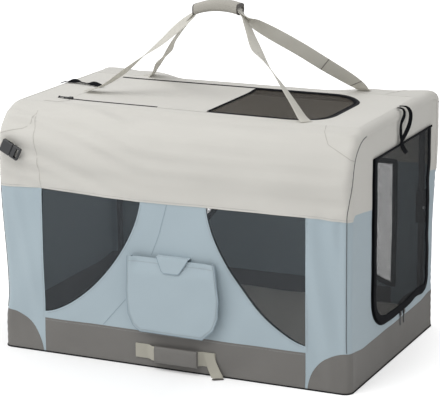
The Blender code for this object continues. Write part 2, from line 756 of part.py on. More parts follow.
def roof_door_outline(inset):
    """The door's left edge, its hinge, is straight. Its front zip runs in towards that, as sewn."""
    half = ROOF_DOOR_HALF_DEPTH - inset
    right = ROOF_DOOR_RIGHT_X - inset
    left = ROOF_DOOR_LEFT_X + inset
    corners = [(left, -half, 0), (right, -half, 0), (right, half, 0), (left, half, 0)]
    path = rounded_path(corners, ROOF_DOOR_CORNER - inset, CORNER_STEPS + 2)
    outline = [(point.x, point.y) for point in path]
    return [(left, -half + ROOF_DOOR_TAPER)] + outline[1:]


def build_roof():
    """The flat roof panel, with the door in it: cloth at the left and mesh at the right."""
    half_x = WIDTH / 2 - COVER_THICKNESS - GAP
    half_y = FLAT_HALF_DEPTH - GAP
    bottom = ROOF_TOP_Z - COVER_THICKNESS
    panel = box((-half_x, -half_y, bottom), (half_x, half_y, ROOF_TOP_Z))
    opening = slab(on_floor(roof_door_outline(-ZIP_GAP), bottom - CUT_OVERRUN), (0, 0, 2 * CUT_OVERRUN))
    add_piece("roof_panel", cut(panel, opening), "beige_cloth")
    door = slab(on_floor(roof_door_outline(0), bottom), (0, 0, COVER_THICKNESS))
    hinge = (ROOF_DOOR_LEFT_X, 0, ROOF_TOP_Z)
    window = [(x, y) for x, y in roof_door_outline(ROOF_MESH_MARGIN) if x > ROOF_MESH_LEFT_X]
    half = ROOF_DOOR_HALF_DEPTH - ROOF_MESH_MARGIN
    taper_left = ROOF_DOOR_TAPER * (1 - (ROOF_MESH_LEFT_X - ROOF_DOOR_LEFT_X) / ROOF_DOOR_TAPER_LENGTH)
    window = [(ROOF_MESH_LEFT_X, taper_left - half)] + window + [(ROOF_MESH_LEFT_X, half)]
    mesh_bottom = bottom + (COVER_THICKNESS - MESH_THICKNESS) / 2
    cutter = slab(on_floor(window, bottom - CUT_OVERRUN), (0, 0, 2 * CUT_OVERRUN))
    add_piece("roof_door_cloth", cut(door, cutter), "beige_cloth", hinge)
    window = [shrunk(point, window, GAP) for point in window]
    mesh = slab(on_floor(window, mesh_bottom), (0, 0, MESH_THICKNESS))
    add_piece("roof_door_mesh", mesh, "dark_mesh", hinge)


def shrunk(point, outline, distance):
    """Move a point of an outline towards the outline's middle by about the distance."""
    middle_x = sum(x for x, _ in outline) / len(outline)
    middle_y = sum(y for _, y in outline) / len(outline)
    step_x = math.copysign(distance, middle_x - point[0])
    step_y = math.copysign(distance, middle_y - point[1])
    return (point[0] + step_x, point[1] + step_y)


def build_pocket():
    """The patch pocket, open at the top, and the flap that hangs over its mouth."""
    half = POCKET_WIDTH / 2
    low = (PILLAR_CENTRE_X - half, POCKET_BOTTOM_Z)
    high = (PILLAR_CENTRE_X + half, POCKET_TOP_Z + POCKET_CORNER)
    outline = rounded_rectangle(low, high, POCKET_CORNER)
    bag = slab(on_wall(outline, POCKET_FRONT_Y), (0, POCKET_DEPTH, 0))
    above = box(
        (low[0] - CUT_OVERRUN, POCKET_FRONT_Y - CUT_OVERRUN, POCKET_TOP_Z),
        (high[0] + CUT_OVERRUN, FRONT_Y + CUT_OVERRUN, high[1] + CUT_OVERRUN))
    low = (low[0] + POCKET_WALL, low[1] + POCKET_WALL)
    high = (high[0] - POCKET_WALL, high[1])
    hollow = rounded_rectangle(low, high, POCKET_CORNER - POCKET_WALL)
    inside = slab(on_wall(hollow, POCKET_FRONT_Y + POCKET_WALL), (0, POCKET_DEPTH, 0))
    add_piece("pocket", cut(bag, above, inside), "blue_cloth")
    add_piece("pocket_flap", pocket_flap(), "blue_cloth", FLAP_HINGE)


def pocket_flap():
    """A strip from the wall over the pocket's mouth, ending in a tapered tab."""
    centre = PILLAR_CENTRE_X
    half = FLAP_WIDTH / 2
    tip = FLAP_TIP_WIDTH / 2
    top = FLAP_HINGE[2]
    wall_y = FLAP_HINGE[1]
    outer_y = POCKET_FRONT_Y - GAP - FLAP_THICKNESS
    bridge = box(
        (centre - half, outer_y, top - FLAP_THICKNESS), (centre + half, wall_y, top))
    bend = top - FLAP_DROP * 2 / 3
    tab = [
        (centre - half, top), (centre + half, top), (centre + half, bend),
        (centre + tip, top - FLAP_DROP), (centre - tip, top - FLAP_DROP), (centre - half, bend)]
    return fuse(bridge, slab(on_wall(tab, outer_y), (0, FLAP_THICKNESS, 0)))


def strap_stations(end):
    """One carry strap: from its left root up to the grip, through it, and down to its right root."""
    root_z = ROOF_TOP_Z + GAP + WEBBING_THICKNESS / 2
    lift = WEBBING_THICKNESS / 2 + GAP
    level = GRIP_CENTRE_Z - end * lift
    half = GRIP_LENGTH / 2
    outward = -end * STRAP_SPREAD
    exit_x = half + STRAP_EXIT
    bend_x = exit_x + STRAP_EXIT + outward
    exit_z = level - arch_drop(exit_x)
    roots = {
        -1: ((STRAP_ROOT_FRONT_LEFT_X, STRAP_ROOT_FRONT_LEFT_Y), (STRAP_ROOT_RIGHT_X, -STRAP_ROOT_Y)),
        1: ((-STRAP_ROOT_RIGHT_X, STRAP_ROOT_Y), (STRAP_ROOT_RIGHT_X, STRAP_ROOT_Y)),
    }
    (left_x, left_y), (right_x, right_y) = roots[end]
    across = (0, 1, 0)
    turned = (0.5, 1, 0)
    spread = end * WEBBING_WIDTH / 2
    return [
        ((left_x - WEBBING_WIDTH / 2, left_y, root_z), across),
        ((left_x + WEBBING_WIDTH / 3, left_y, root_z + WEBBING_THICKNESS), across),
        ((left_x * 2 / 3 - half / 3, left_y * 2 / 3 + spread / 3, mix(root_z, level, 0.34)), turned),
        ((left_x / 3 - half * 2 / 3 - outward, left_y / 3 + spread / 3, mix(root_z, level, 0.72)), turned),
        ((-bend_x, left_y / 20, exit_z - STRAP_EXIT), across),
        ((-exit_x, 0, exit_z), across),
        ((-half / 2, 0, level - arch_drop(half / 2)), across),
        ((half / 2, 0, level - arch_drop(half / 2)), across),
        ((exit_x, 0, exit_z), across),
        ((bend_x, right_y / 20, exit_z - STRAP_EXIT), across),
        ((right_x / 3 + half * 2 / 3 + outward, right_y / 3 + spread / 3, mix(root_z, level, 0.72)), turned),
        ((right_x * 2 / 3 + half / 3, right_y * 2 / 3 + spread / 3, mix(root_z, level, 0.34)), turned),
        ((right_x - WEBBING_WIDTH / 3, right_y, root_z + WEBBING_THICKNESS), across),
        ((right_x + WEBBING_WIDTH / 2, right_y, root_z), across),
    ]


def mix(low, high, share):
    return low + (high - low) * share


def arch_drop(x):
    """How far the grip has sunk below its middle, at a distance x along it."""
    return GRIP_ARCH * (2 * x / GRIP_LENGTH) ** 2


def arched_sleeve():
    """The wrapped grip, a padded sleeve swept along a shallow arch round the two straps."""
    rim = GRIP_HEIGHT / 2
    outer = rounded_rectangle((-GRIP_DEPTH / 2, -rim), (GRIP_DEPTH / 2, rim), rim * 3 / 4)
    slot_y = WEBBING_WIDTH / 2 + 3 * GAP
    slot_z = WEBBING_THICKNESS + GRIP_SLACK
    inner = rounded_rectangle((-slot_y, -slot_z), (slot_y, slot_z), slot_z / 2)
    solid = bmesh.new()
    rings = []
    for step in range(GRIP_STEPS + 1):
        x = (step / GRIP_STEPS - 1 / 2) * GRIP_LENGTH
        centre = Vector((x, 0, GRIP_CENTRE_Z - arch_drop(x)))
        rings.append([
            [solid.verts.new(centre + Vector((0, y, z))) for y, z in outline]
            for outline in (outer, inner)])
    count = len(outer)
    for index in range(count):
        far = (index + 1) % count
        for ring, following in zip(rings, rings[1:]):
            for one, two in zip(ring, following):
                solid.faces.new([one[index], one[far], two[far], two[index]])
        for rim_out, rim_in in (rings[0], rings[-1]):
            solid.faces.new([rim_out[index], rim_out[far], rim_in[far], rim_in[index]])
    return turned_outward(solid)


def build_carry_straps():
    """Two straps that meet in the wrapped grip."""
    for name, end in ENDS.items():
        route = smooth_route(strap_stations(end), RIBBON_STEPS // 4)
        strap = ribbon(route, WEBBING_WIDTH, WEBBING_THICKNESS, rest_z=ROOF_TOP_Z + GAP)
        add_piece(f"carry_strap_{name}", strap, "webbing")
    add_piece("carry_grip", arched_sleeve(), "grip_cloth", smooth_angle=math.radians(50))


def build_base_handle():
    """The flat grab handle on the grey band, and the loose end of its webbing."""
    band_y = FRONT_Y - GAP - WEBBING_THICKNESS / 2
    far_y = FRONT_Y - GAP - BASE_GRIP_STANDOFF - BASE_GRIP_THICKNESS / 2
    half_span = BASE_HANDLE_SPAN / 2
    half_grip = BASE_GRIP_LENGTH / 2
    length = half_grip * 7 / 8
    patch = half_grip + (half_span - half_grip) / 3
    bend = (length + patch) / 2
    xs_and_ys = [
        (-half_span, band_y), (-patch, band_y), (-bend, mix(band_y, far_y, 0.55)),
        (-length, far_y), (length, far_y),
        (bend, mix(band_y, far_y, 0.55)), (patch, band_y), (half_span, band_y)]
    up = (0, 0, 1)
    stations = [((BASE_HANDLE_X + x, y, BASE_HANDLE_Z), up) for x, y in xs_and_ys]
    route = [(Vector(point), Vector(across)) for point, across in stations]
    webbing = fuse(ribbon(route, WEBBING_WIDTH, WEBBING_THICKNESS), webbing_tail(band_y))
    add_piece("base_handle_webbing", webbing, "webbing")
    centre = BASE_HANDLE_X
    rim = BASE_GRIP_HEIGHT / 2
    pad = bevelled(box(
        (centre - length, far_y - BASE_GRIP_THICKNESS / 2, BASE_HANDLE_Z - rim),
        (centre + length, far_y + BASE_GRIP_THICKNESS / 2, BASE_HANDLE_Z + rim)), FITTING_BEVEL, 2)
    slot = box(
        (centre - half_grip, far_y - WEBBING_THICKNESS / 2 - GAP, BASE_HANDLE_Z - WEBBING_WIDTH / 2 - GAP),
        (centre + half_grip, far_y + WEBBING_THICKNESS / 2 + GAP, BASE_HANDLE_Z + WEBBING_WIDTH / 2 + GAP))
    add_piece("base_handle_grip", cut(pad, slot), "grey_cloth")


def webbing_tail(band_y):
    """A limp end that hangs from beside the handle and curls forward above the floor."""
    drop_and_reach_shares = ((1.00, 0.0), (0.62, 0.0), (0.30, 0.25), (0.10, 0.70), (0.045, 1.0))
    top = BASE_HANDLE_Z + WEBBING_WIDTH / 3
    route = []
    for height_share, reach_share in drop_and_reach_shares:
        point = Vector((TAIL_X, band_y - reach_share * TAIL_REACH, top * height_share))
        route.append((point, Vector((1, 0, 0))))
    return ribbon(route, TAIL_WIDTH, WEBBING_THICKNESS)


def buckle_place():
    """The buckle's own frame: x along it, y out of the wall, z across it."""
    out = FRONT_Y - GAP
    return Matrix.Translation((BUCKLE_X, out, BUCKLE_Z)) @ Matrix.Rotation(-BUCKLE_TILT, 4, "Y")


def build_buckle():
    """A side-release buckle: socket on a short webbing, and the plug with its three prongs."""
    back = -BUCKLE_STANDOFF
    front = back - BUCKLE_THICKNESS
    half = BUCKLE_WIDTH / 2
    socket = bevelled(box((-BUCKLE_SOCKET_LENGTH, front, -half), (0, back, half)), FITTING_BEVEL)
    cavity = box(
        (-BUCKLE_SOCKET_LENGTH + 2 * BUCKLE_WALL, front + BUCKLE_WALL, -half + BUCKLE_WALL),
        (CUT_OVERRUN, back - BUCKLE_WALL, half - BUCKLE_WALL))
    window_half = BUCKLE_PRONG_LENGTH / 4
    middle = -BUCKLE_PRONG_LENGTH * 2 / 3
    side_windows = box(
        (middle - window_half, front + BUCKLE_WALL, -half - CUT_OVERRUN),
        (middle + window_half, back - BUCKLE_WALL, half + CUT_OVERRUN))
    socket = cut(socket, cavity, side_windows)
    plug_low = (GAP, front, -half)
    plug_high = (BUCKLE_PLUG_LENGTH, back, half)
    plug = bevelled(box(plug_low, plug_high), FITTING_BEVEL)
    slot_margin = BUCKLE_WALL * 2
    slot = box(
        (BUCKLE_PLUG_LENGTH / 2, front - CUT_OVERRUN, -half + slot_margin),
        (BUCKLE_PLUG_LENGTH - slot_margin, back + CUT_OVERRUN, half - slot_margin))
    plug = cut(plug, slot)
    prong_y = (front + 2 * BUCKLE_WALL, back - 2 * BUCKLE_WALL + GAP)
    reach = half - BUCKLE_WALL - BUCKLE_PRONG_WIDTH / 2 - 2 * GAP
    for shift in (-reach, 0, reach):
        prong = box(
            (-BUCKLE_PRONG_LENGTH, prong_y[0], shift - BUCKLE_PRONG_WIDTH / 2),
            (FITTING_BEVEL, prong_y[1], shift + BUCKLE_PRONG_WIDTH / 2))
        plug = fuse(plug, prong)
    webbing_half = BUCKLE_WEBBING_WIDTH / 2
    webbing_end = -BUCKLE_SOCKET_LENGTH + BUCKLE_WALL
    webbing = box(
        (webbing_end - BUCKLE_WEBBING_LENGTH / 4, -WEBBING_THICKNESS, -webbing_half),
        (-BUCKLE_WALL, 0, webbing_half))
    place = buckle_place()
    pieces = (("buckle_webbing", webbing, "webbing"), ("buckle_socket", socket, "black_plastic"),
              ("buckle_plug", plug, "black_plastic"))
    for name, solid, finish in pieces:
        bmesh.ops.transform(solid, matrix=place, verts=solid.verts)
        add_piece(name, solid, finish, place.translation)


def zip_slider(direction):
    """A slider body with its pull, lying flat, with the pull pointing along the direction in X."""
    half = SLIDER_WIDTH / 2
    body = bevelled(box(
        (-SLIDER_LENGTH / 2, -half, 0), (SLIDER_LENGTH / 2, half, SLIDER_HEIGHT)), PULL_THICKNESS / 2)
    reach = direction * (SLIDER_LENGTH / 3 + PULL_LENGTH)
    low_x, high_x = sorted((0, reach))
    pull = box(
        (low_x, -PULL_WIDTH / 2, SLIDER_HEIGHT - 2 * PULL_THICKNESS),
        (high_x, PULL_WIDTH / 2, SLIDER_HEIGHT - PULL_THICKNESS))
    return fuse(body, pull)


def build_zip_sliders():
    """One slider on the roof door's zip, and two on the end door's."""
    roof = zip_slider(-1)
    start = Vector((ROOF_DOOR_LEFT_X, ROOF_DOOR_TAPER - ROOF_DOOR_HALF_DEPTH, ROOF_TOP_Z + GAP))
    along = Vector((ROOF_DOOR_TAPER_LENGTH, -ROOF_DOOR_TAPER, 0)).normalized()
    outward = Vector((along.y, -along.x, 0))
    centre = start + along * ROOF_SLIDER_INSET + outward * (2 * ZIP_GAP + SLIDER_WIDTH / 2)
    place = Matrix.Translation(centre) @ Matrix.Rotation(math.atan2(along.y, along.x), 4, "Z")
    bmesh.ops.transform(roof, matrix=place, verts=roof.verts)
    add_piece("roof_zip_slider", roof, "black_plastic", centre)
    top = DOOR_BOTTOM_Z - ZIP_GAP - SLIDER_LENGTH / 2
    turn = Matrix.Rotation(math.pi / 2, 4, "Y")
    for name, end in ENDS.items():
        slider = zip_slider(1)
        place = Matrix.Translation((DOOR_FACE_X, END_SLIDER_Y + end * END_SLIDER_SPLIT, top)) @ turn
        bmesh.ops.transform(slider, matrix=place, verts=slider.verts)
        add_piece(f"end_zip_slider_{name}", slider, "black_plastic", place.translation)


def build_ties():
    """Cloth ties that hold the rolled-up doors: one on the roof, one above the end door."""
    low = (ROOF_TIE_RIGHT_X - ROOF_TIE_LENGTH, ROOF_TIE_Y - TIE_WIDTH / 2, ROOF_TOP_Z + GAP)
    high = (ROOF_TIE_RIGHT_X, ROOF_TIE_Y + TIE_WIDTH / 2, ROOF_TOP_Z + GAP + 2 * TIE_THICKNESS)
    add_piece("roof_tie", box(low, high), "black_binding")
    reach_and_height_shares = (
        (0.05, 0.93), (0.45, 0.985), (0.85, 0.96), (0.953, 0.93), (0.80, 0.90), (0.55, 0.875), (0.35, 0.845))
    route = []
    for reach_share, height_share in reach_and_height_shares:
        point = Vector((END_X + GAP + reach_share * END_TIE_REACH, END_TIE_Y, height_share * HEIGHT))
        route.append((point, Vector((0, 1, 0))))
    add_piece("end_tie", ribbon(route, TIE_WIDTH, TIE_THICKNESS), "black_binding")


def build():
    clear_scene()
    make_origin()
    build_base_frame()
    build_hoops()
    build_knees()
    build_roof_frame()
    build_floor()
    build_long_walls()
    build_end_walls()
    build_end_door()
    build_roof()
    build_pocket()
    build_carry_straps()
    build_base_handle()
    build_buckle()
    build_zip_sliders()
    build_ties()


build()
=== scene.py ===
"""Soft folding dog crate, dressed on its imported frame.

Metres, +Z up. Lengths are written about the middle of the cover, and SHIFT moves them to the shared
frame. The sections follow the order of assembly, from the steel frame to the small parts.
"""
import math

import bmesh
import bpy
from mathutils import Matrix, Vector, geometry, kdtree, noise
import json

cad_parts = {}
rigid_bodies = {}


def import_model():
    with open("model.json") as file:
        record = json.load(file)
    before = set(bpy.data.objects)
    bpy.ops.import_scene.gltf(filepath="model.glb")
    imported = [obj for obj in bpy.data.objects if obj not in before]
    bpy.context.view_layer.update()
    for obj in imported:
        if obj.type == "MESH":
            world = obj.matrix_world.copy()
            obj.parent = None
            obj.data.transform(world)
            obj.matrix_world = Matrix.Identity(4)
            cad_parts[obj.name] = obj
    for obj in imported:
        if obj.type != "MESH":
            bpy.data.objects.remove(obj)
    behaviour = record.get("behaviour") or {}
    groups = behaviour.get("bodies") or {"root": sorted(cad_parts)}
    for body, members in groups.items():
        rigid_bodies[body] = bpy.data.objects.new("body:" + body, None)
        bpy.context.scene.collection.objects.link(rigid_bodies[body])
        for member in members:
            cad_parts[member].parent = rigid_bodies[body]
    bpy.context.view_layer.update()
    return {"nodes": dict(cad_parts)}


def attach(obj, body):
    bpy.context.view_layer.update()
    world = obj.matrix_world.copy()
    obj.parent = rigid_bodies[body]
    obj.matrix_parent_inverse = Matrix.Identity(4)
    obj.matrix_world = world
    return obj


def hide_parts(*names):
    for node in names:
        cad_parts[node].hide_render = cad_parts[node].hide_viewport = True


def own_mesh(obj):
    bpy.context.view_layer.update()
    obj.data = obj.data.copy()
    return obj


for leftover in list(bpy.data.objects):
    bpy.data.objects.remove(leftover, do_unlink=True)
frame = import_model()


# Folding frame
# Two hoops at each end, a base ring and two roof rails of thin steel tube, bent and powder coated.
# Moulded nylon knees, clamps and sleeves hold them, with zinc-plated pins and sprung buttons.
def linear(shade):
    """A screen colour such as C8C6BF as linear red, green, blue and alpha."""
    shares = [int(shade[at:at + 2], 16) / 255 for at in (0, 2, 4)]
    return (*[s / 12.92 if s <= 0.04045 else ((s + 0.055) / 1.055) ** 2.4 for s in shares], 1.0)


def feed(tree, node, **inputs):
    """Set inputs, each to a value or to the socket it is linked from. _ stands for a space."""
    for key, value in inputs.items():
        socket = node.inputs[int(key[1:])] if key[1:].isdigit() else node.inputs[key.replace("_", " ")]
        if isinstance(value, bpy.types.NodeSocket):
            tree.links.new(value, socket)
        else:
            socket.default_value = value


def knot(tree, kind, settings=None, **inputs):
    """Add a shader node with its settings and links, and give its outputs. n0 is its first input."""
    node = tree.nodes.new("ShaderNode" + kind)
    for key, value in (settings or {}).items():
        setattr(node, key, value)
    feed(tree, node, **inputs)
    return node.outputs


def blank(name, coords="UV"):
    """A new material with its nodes, its shader, and the place on the surface as a socket."""
    made = bpy.data.materials.new(name)
    made.use_nodes = True
    tree = made.node_tree
    return made, tree, tree.nodes["Principled BSDF"], knot(tree, "TexCoord")[coords]


def uneven(tree, place, scale, low, high, detail=3.0):
    """Noise between two values or two hex colours, as a socket, in so many patches to the metre."""
    cloud = knot(tree, "TexNoise", Vector=place, Scale=scale, Detail=detail)[0]
    if isinstance(low, str):
        return knot(tree, "Mix", {"data_type": "RGBA"}, Factor=cloud, n6=linear(low), n7=linear(high))[2]
    return knot(tree, "MapRange", Value=cloud, To_Min=low, To_Max=high)[0]


def coated(name, low, high, roughness, grain, depth, metal=0.0):
    """Coated or moulded stock: a fine skin like orange peel, and a shine that is a little uneven."""
    made, tree, shader, place = blank(name, "Object")
    skin = knot(tree, "TexNoise", Vector=place, Scale=1 / grain, Detail=2.0)[0]
    bump = knot(tree, "Bump", Height=skin, Strength=0.4, Distance=depth)[0]
    feed(tree, shader, Base_Color=uneven(tree, place, 40.0, low, high), Metallic=metal, Normal=bump,
         Roughness=uneven(tree, place, 90.0, roughness - 0.06, roughness + 0.06))
    return made


tube_coat = coated("powder coated steel", "36383A", "404244", roughness=0.42, grain=0.0016, depth=0.00006)
black_nylon = coated("moulded nylon", "232426", "2B2C2E", roughness=0.48, grain=0.0007, depth=0.00004)
plated = coated("zinc plated steel", "B9BABB", "C9C9C8", roughness=0.30, grain=0.0009, depth=0.00002,
                metal=1.0)
COATS = (
    (tube_coat, ("base_frame", "lower_hoop", "upper_hoop", "roof_rail")),
    (black_nylon, ("base_clamp", "knee_lower", "knee_upper", "roof_sleeve", "roof_zip", "end_zip")),
    (plated, ("knee_pin", "lock_button")),
)
for name, node in frame["nodes"].items():
    for coat, starts in COATS:
        if name.startswith(starts):
            node.data.materials.clear()
            node.data.materials.append(coat)


# Bottom cover
# A sewn tray of coated grey polyester: the band round the foot of the cover, and its floor. The
# band's corners are cut as quarter ovals, and a black cord is piped round the bottom edge.
SHIFT = Vector((-0.00665, 0.0112, 0.0))
HALF_X, HALF_Y, TOP = 0.455, 0.290, 0.610
SHOULDER, TIGHT, ROLL = 0.100, 0.035, 0.020
BAND, CHANGE = 0.089, 0.4125
WALL = TOP - SHOULDER
ROOF = WALL + SHOULDER * math.pi / 2
FLAT_Y = HALF_Y - SHOULDER
FLAT_X = HALF_X - ROLL
EDGE = FLAT_X + ROLL * math.pi / 2
SEAM_X = 0.346
CLOTH, NET = 0.0012, 0.0001
WALLS = ((-1, "front"), (1, "back"))
HANDS = ((-1, "left"), (1, "right"))
# How far the frame pushes the cloth out of true
HEAD_LEAN, FOOT_LEAN, RIGHT_FOOT_LEAN = 0.012, 0.009, 0.003
CORNER_LEAN, CORNER_HEAD_LEAN = 0.005, 0.008
BACK_PUSH, BACK_LIFT, LEFT_BACK_SHARE = 0.013, 0.009, 0.5
# How deep the beige cloth folds, and how deep the blue cloth hangs in
FOLD, LEFT_FOLD, HOLLOW, CREASE, SHOULDER_CREASE = 0.0045, 0.0090, 0.0026, 0.0030, 0.0055
BACK_SUNK, BACK_SHARE, END_SAG = 0.0012, 0.30, 0.0012
DRAPE, STRIP_DRAPE, VALLEY, VALLEY_X, DEEPEST = 0.0050, 0.0080, 0.0045, 0.432, 0.0065


def ease(value):
    value = min(1.0, max(0.0, value))
    return value * value * (3 - 2 * value)


def hum(*where):
    return noise.noise(Vector(where))


def settled(x, y, z):
    """A spot on the cover once the frame has pushed the cloth out: the left end leans out at its top and
    its foot, and the back right corner stands higher and further out than the others."""
    end = ease((abs(x) - 0.335) / 0.110)
    foot = 1 - ease((z - 0.06) / 0.08)
    if x < 0:
        out = -HEAD_LEAN * ease((z - 0.15) / 0.27) - FOOT_LEAN * foot
    else:
        corner = ease((y - 0.245) / 0.045) * (CORNER_LEAN + CORNER_HEAD_LEAN * ease((z - 0.25) / 0.25))
        out = max(RIGHT_FOOT_LEAN * foot, corner)
    back = end * ease((y - 0.235) / 0.05) * ease((z - 0.20) / 0.30) * (1.0 if x > 0 else LEFT_BACK_SHARE)
    lifted = z + BACK_LIFT * back * ease((z - 0.50) / 0.08)
    return Vector((x + end * out, y + BACK_PUSH * back, lifted)) + SHIFT


def slack(u, t, side):
    """How far the long wall's cloth has sunk in at u along it and t up it. The beige cloth pulls in
    long folds that run down from the left, and the blue strips beside the windows hang in upright ones.
    The back is drawn tighter."""
    hold = ease((EDGE - abs(u)) / 0.04) * ease(t / 0.03) * ease((ROOF - t) / 0.03)
    upper = ease((t - CHANGE + 0.01) / 0.03)
    left = ease((0.05 - u) / 0.30)
    slope = t + 0.28 * left * u
    folds = (FOLD + LEFT_FOLD * left) * (0.20 + hum(1.6 * u, 38 * slope, side))
    folds += HOLLOW * (0.4 + hum(3.5 * u, 6 * t, 3 + side)) + CREASE * (0.3 + hum(6 * u, 34 * t, 2 + side))
    creases = ease((u - 0.05) / 0.12) * ease((0.650 - t) / 0.03) * ease((t - 0.530) / 0.03)
    folds += SHOULDER_CREASE * creases * hum(3 * u, 58 * t, 4)
    if side > 0:
        folds = BACK_SUNK + BACK_SHARE * folds
    drapes = DRAPE * (0.3 + hum(9 * u - 5 * t, 5 * t, 5 + side))
    strip = ease((abs(u) - SEAM_X) / 0.012)
    drapes += STRIP_DRAPE * strip * (0.15 + hum(30 * u + 5 * t, 2.5 * t, 7 + side))
    valley = math.exp(-((u - VALLEY_X + 0.01 * t) / 0.010) ** 2)
    drapes += VALLEY * valley * ease((t - 0.10) / 0.06)
    return hold * (upper * folds + (1 - upper) * min(DEEPEST, drapes))


def long_wall(side):
    """Place on the front (side -1) or back (side 1) of the cover, over the shoulder to the roof's edge.
    The back shoulder is drawn tight over the hoops, so it is sharper towards both ends."""
    def place(u, t):
        radius = SHOULDER
        if side > 0:
            radius += (TIGHT - SHOULDER) * ease((abs(u) - 0.18) / 0.14)
            if t > CHANGE:
                t = CHANGE + (t - CHANGE) * (1 + (2 - math.pi / 2) * (SHOULDER - radius) / (ROOF - CHANGE))
        wall, roof = TOP - radius, TOP - radius + radius * math.pi / 2
        angle = (t - wall) / radius
        if t <= wall:
            y, z, out_y, out_z = -HALF_Y, t, -1.0, 0.0
        elif t <= roof:
            out_y, out_z = -math.cos(angle), math.sin(angle)
            y, z = radius - HALF_Y + radius * out_y, wall + radius * out_z
        else:
            y, z, out_y, out_z = radius - HALF_Y + t - roof, TOP, 0.0, 1.0
        turn = max(0.0, abs(u) - FLAT_X) / ROLL
        sunk = ROLL * (1 - math.cos(turn)) + slack(u, t, side)
        x = math.copysign(min(abs(u), FLAT_X) + ROLL * math.sin(turn), u)
        out_x = math.copysign(math.sin(turn), u)
        normal = Vector((out_x, -side * out_y * math.cos(turn), out_z * math.cos(turn)))
        return settled(x, -side * (y - out_y * sunk), z - out_z * sunk), normal
    return place


def end_wall(side):
    """Place on the flat end of the cover, at y and z."""
    def place(y, z):
        rim = min(HALF_Y - ROLL - abs(y), TOP - ROLL - z)
        sunk = END_SAG * ease(rim / 0.03) * ease(z / 0.03) * (1 + hum(12 * y, 4 * z, 9 + side))
        return settled(side * (HALF_X - sunk), y, z), Vector((side, 0, 0))
    return place


def walk(points, step, closed=True):
    """The same path with a point at least every step."""
    path = []
    for start, finish in zip(points, points[1:] + points[:1] if closed else points[1:]):
        count = max(1, math.ceil((Vector(finish) - Vector(start)).length / step - 0.01))
        path += [tuple(Vector(start).lerp(Vector(finish), index / count)) for index in range(count)]
    return path if closed else path + [tuple(points[-1])]


def bow(centre, radii, start, finish, count=12):
    """Points on an arc of an ellipse, angles in degrees."""
    angles = [math.radians(start + (finish - start) * index / count) for index in range(count + 1)]
    return [(centre[0] + radii[0] * math.cos(a), centre[1] + radii[1] * math.sin(a)) for a in angles]


def within(spot, loop):
    """True where a spot lies inside a closed loop."""
    crossings = 0
    for (u, v), (far_u, far_v) in zip(loop, loop[1:] + loop[:1]):
        if (v > spot[1]) != (far_v > spot[1]) and spot[0] < u + (far_u - u) * (spot[1] - v) / (far_v - v):
            crossings += 1
    return crossings % 2 == 1


def finder(points):
    """Finds the nearest of some flat points."""
    found = kdtree.KDTree(len(points))
    for index, (u, v) in enumerate(points):
        found.insert((u, v, 0), index)
    found.balance()
    return found


def net(outline, holes, step):
    """Triangles over a flat outline: points, and triples of their numbers."""
    points, borders = [], []
    for loop in (outline, *holes):
        loop = walk(loop, step)
        first = len(points)
        points += loop
        borders += [(first + index, first + (index + 1) % len(loop)) for index in range(len(loop))]
    rim = finder(points)
    low = [min(point[axis] for point in points) for axis in (0, 1)]
    high = [max(point[axis] for point in points) for axis in (0, 1)]
    for row in range(1, math.ceil((high[1] - low[1]) / step)):
        for column in range(1, math.ceil((high[0] - low[0]) / step)):
            spot = (low[0] + (column + row % 2 / 2) * step, low[1] + row * step)
            if rim.find((*spot, 0))[2] > 0.6 * step:
                points.append(spot)
    cut = geometry.delaunay_2d_cdt([Vector(point) for point in points], borders, [], 2, 1e-7)
    points, faces = [tuple(point) for point in cut[0]], []
    for face in cut[2]:
        middle = [sum(points[corner][axis] for corner in face) / 3 for axis in (0, 1)]
        if not any(within(middle, hole) for hole in holes):
            faces.append(tuple(face))
    return points, faces


def show(name, solid, finish, body, marks=None, smooth=50):
    """Turn a bmesh into an object that moves with a body. marks gives each vertex's place on the cloth
    in metres, for the UV map."""
    if marks:
        layer = solid.loops.layers.uv.new("cloth")
        for face in solid.faces:
            for loop in face.loops:
                loop[layer].uv = marks[loop.vert]
    bmesh.ops.recalc_face_normals(solid, faces=solid.faces)
    mesh = bpy.data.meshes.new(name)
    solid.to_mesh(mesh)
    solid.free()
    mesh.shade_smooth()
    mesh.set_sharp_from_angle(angle=math.radians(smooth))
    mesh.materials.append(finish)
    piece = bpy.data.objects.new(name, mesh)
    bpy.context.collection.objects.link(piece)
    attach(piece, body)
    return piece


def sew(name, outline, place, finish, body="base", holes=(), step=0.010, thick=CLOTH, lift=0.0):
    """A cut panel of cloth laid on a surface, with both its faces and its rim."""
    points, faces = net(outline, holes, step)
    used = sorted({corner for face in faces for corner in face})
    solid = bmesh.new()
    outer, inner, marks = {}, {}, {}
    for index in used:
        spot, normal = place(*points[index])
        outer[index] = solid.verts.new(spot + normal * lift)
        inner[index] = solid.verts.new(spot + normal * (lift - thick))
        marks[outer[index]] = marks[inner[index]] = points[index]
    for face in faces:
        a, b, c = (Vector(points[corner]) for corner in face)
        solid.faces.new([outer[corner] for corner in face])
        solid.faces.new([inner[corner] for corner in reversed(face)])
    edges = [edge for face in faces for edge in zip(face, face[1:] + face[:1])]
    shared = set(edges)
    for start, far in edges:
        if (far, start) not in shared:
            solid.faces.new([outer[far], outer[start], inner[start], inner[far]])
    piece = show(name, solid, finish, body, marks)
    spans = zip(*(points[index] for index in used))
    size = [max(span) - min(span) for span in spans]
    return piece


def folds_flat(piece):
    """Gives the piece a mesh of its own."""
    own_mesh(piece)


def let_light_through(tree, shader, colour, normal, glow):
    """Pale cloth passes a share of the light on to its far side."""
    lit = knot(tree, "BsdfTranslucent", Color=colour, Normal=normal)[0]
    both = knot(tree, "MixShader", n0=glow, n1=shader.outputs[0], n2=lit)[0]
    tree.links.new(both, tree.nodes["Material Output"].inputs["Surface"])


# A wave texture of scale 1 repeats after this many metres.
WAVE_LENGTH = 0.314159


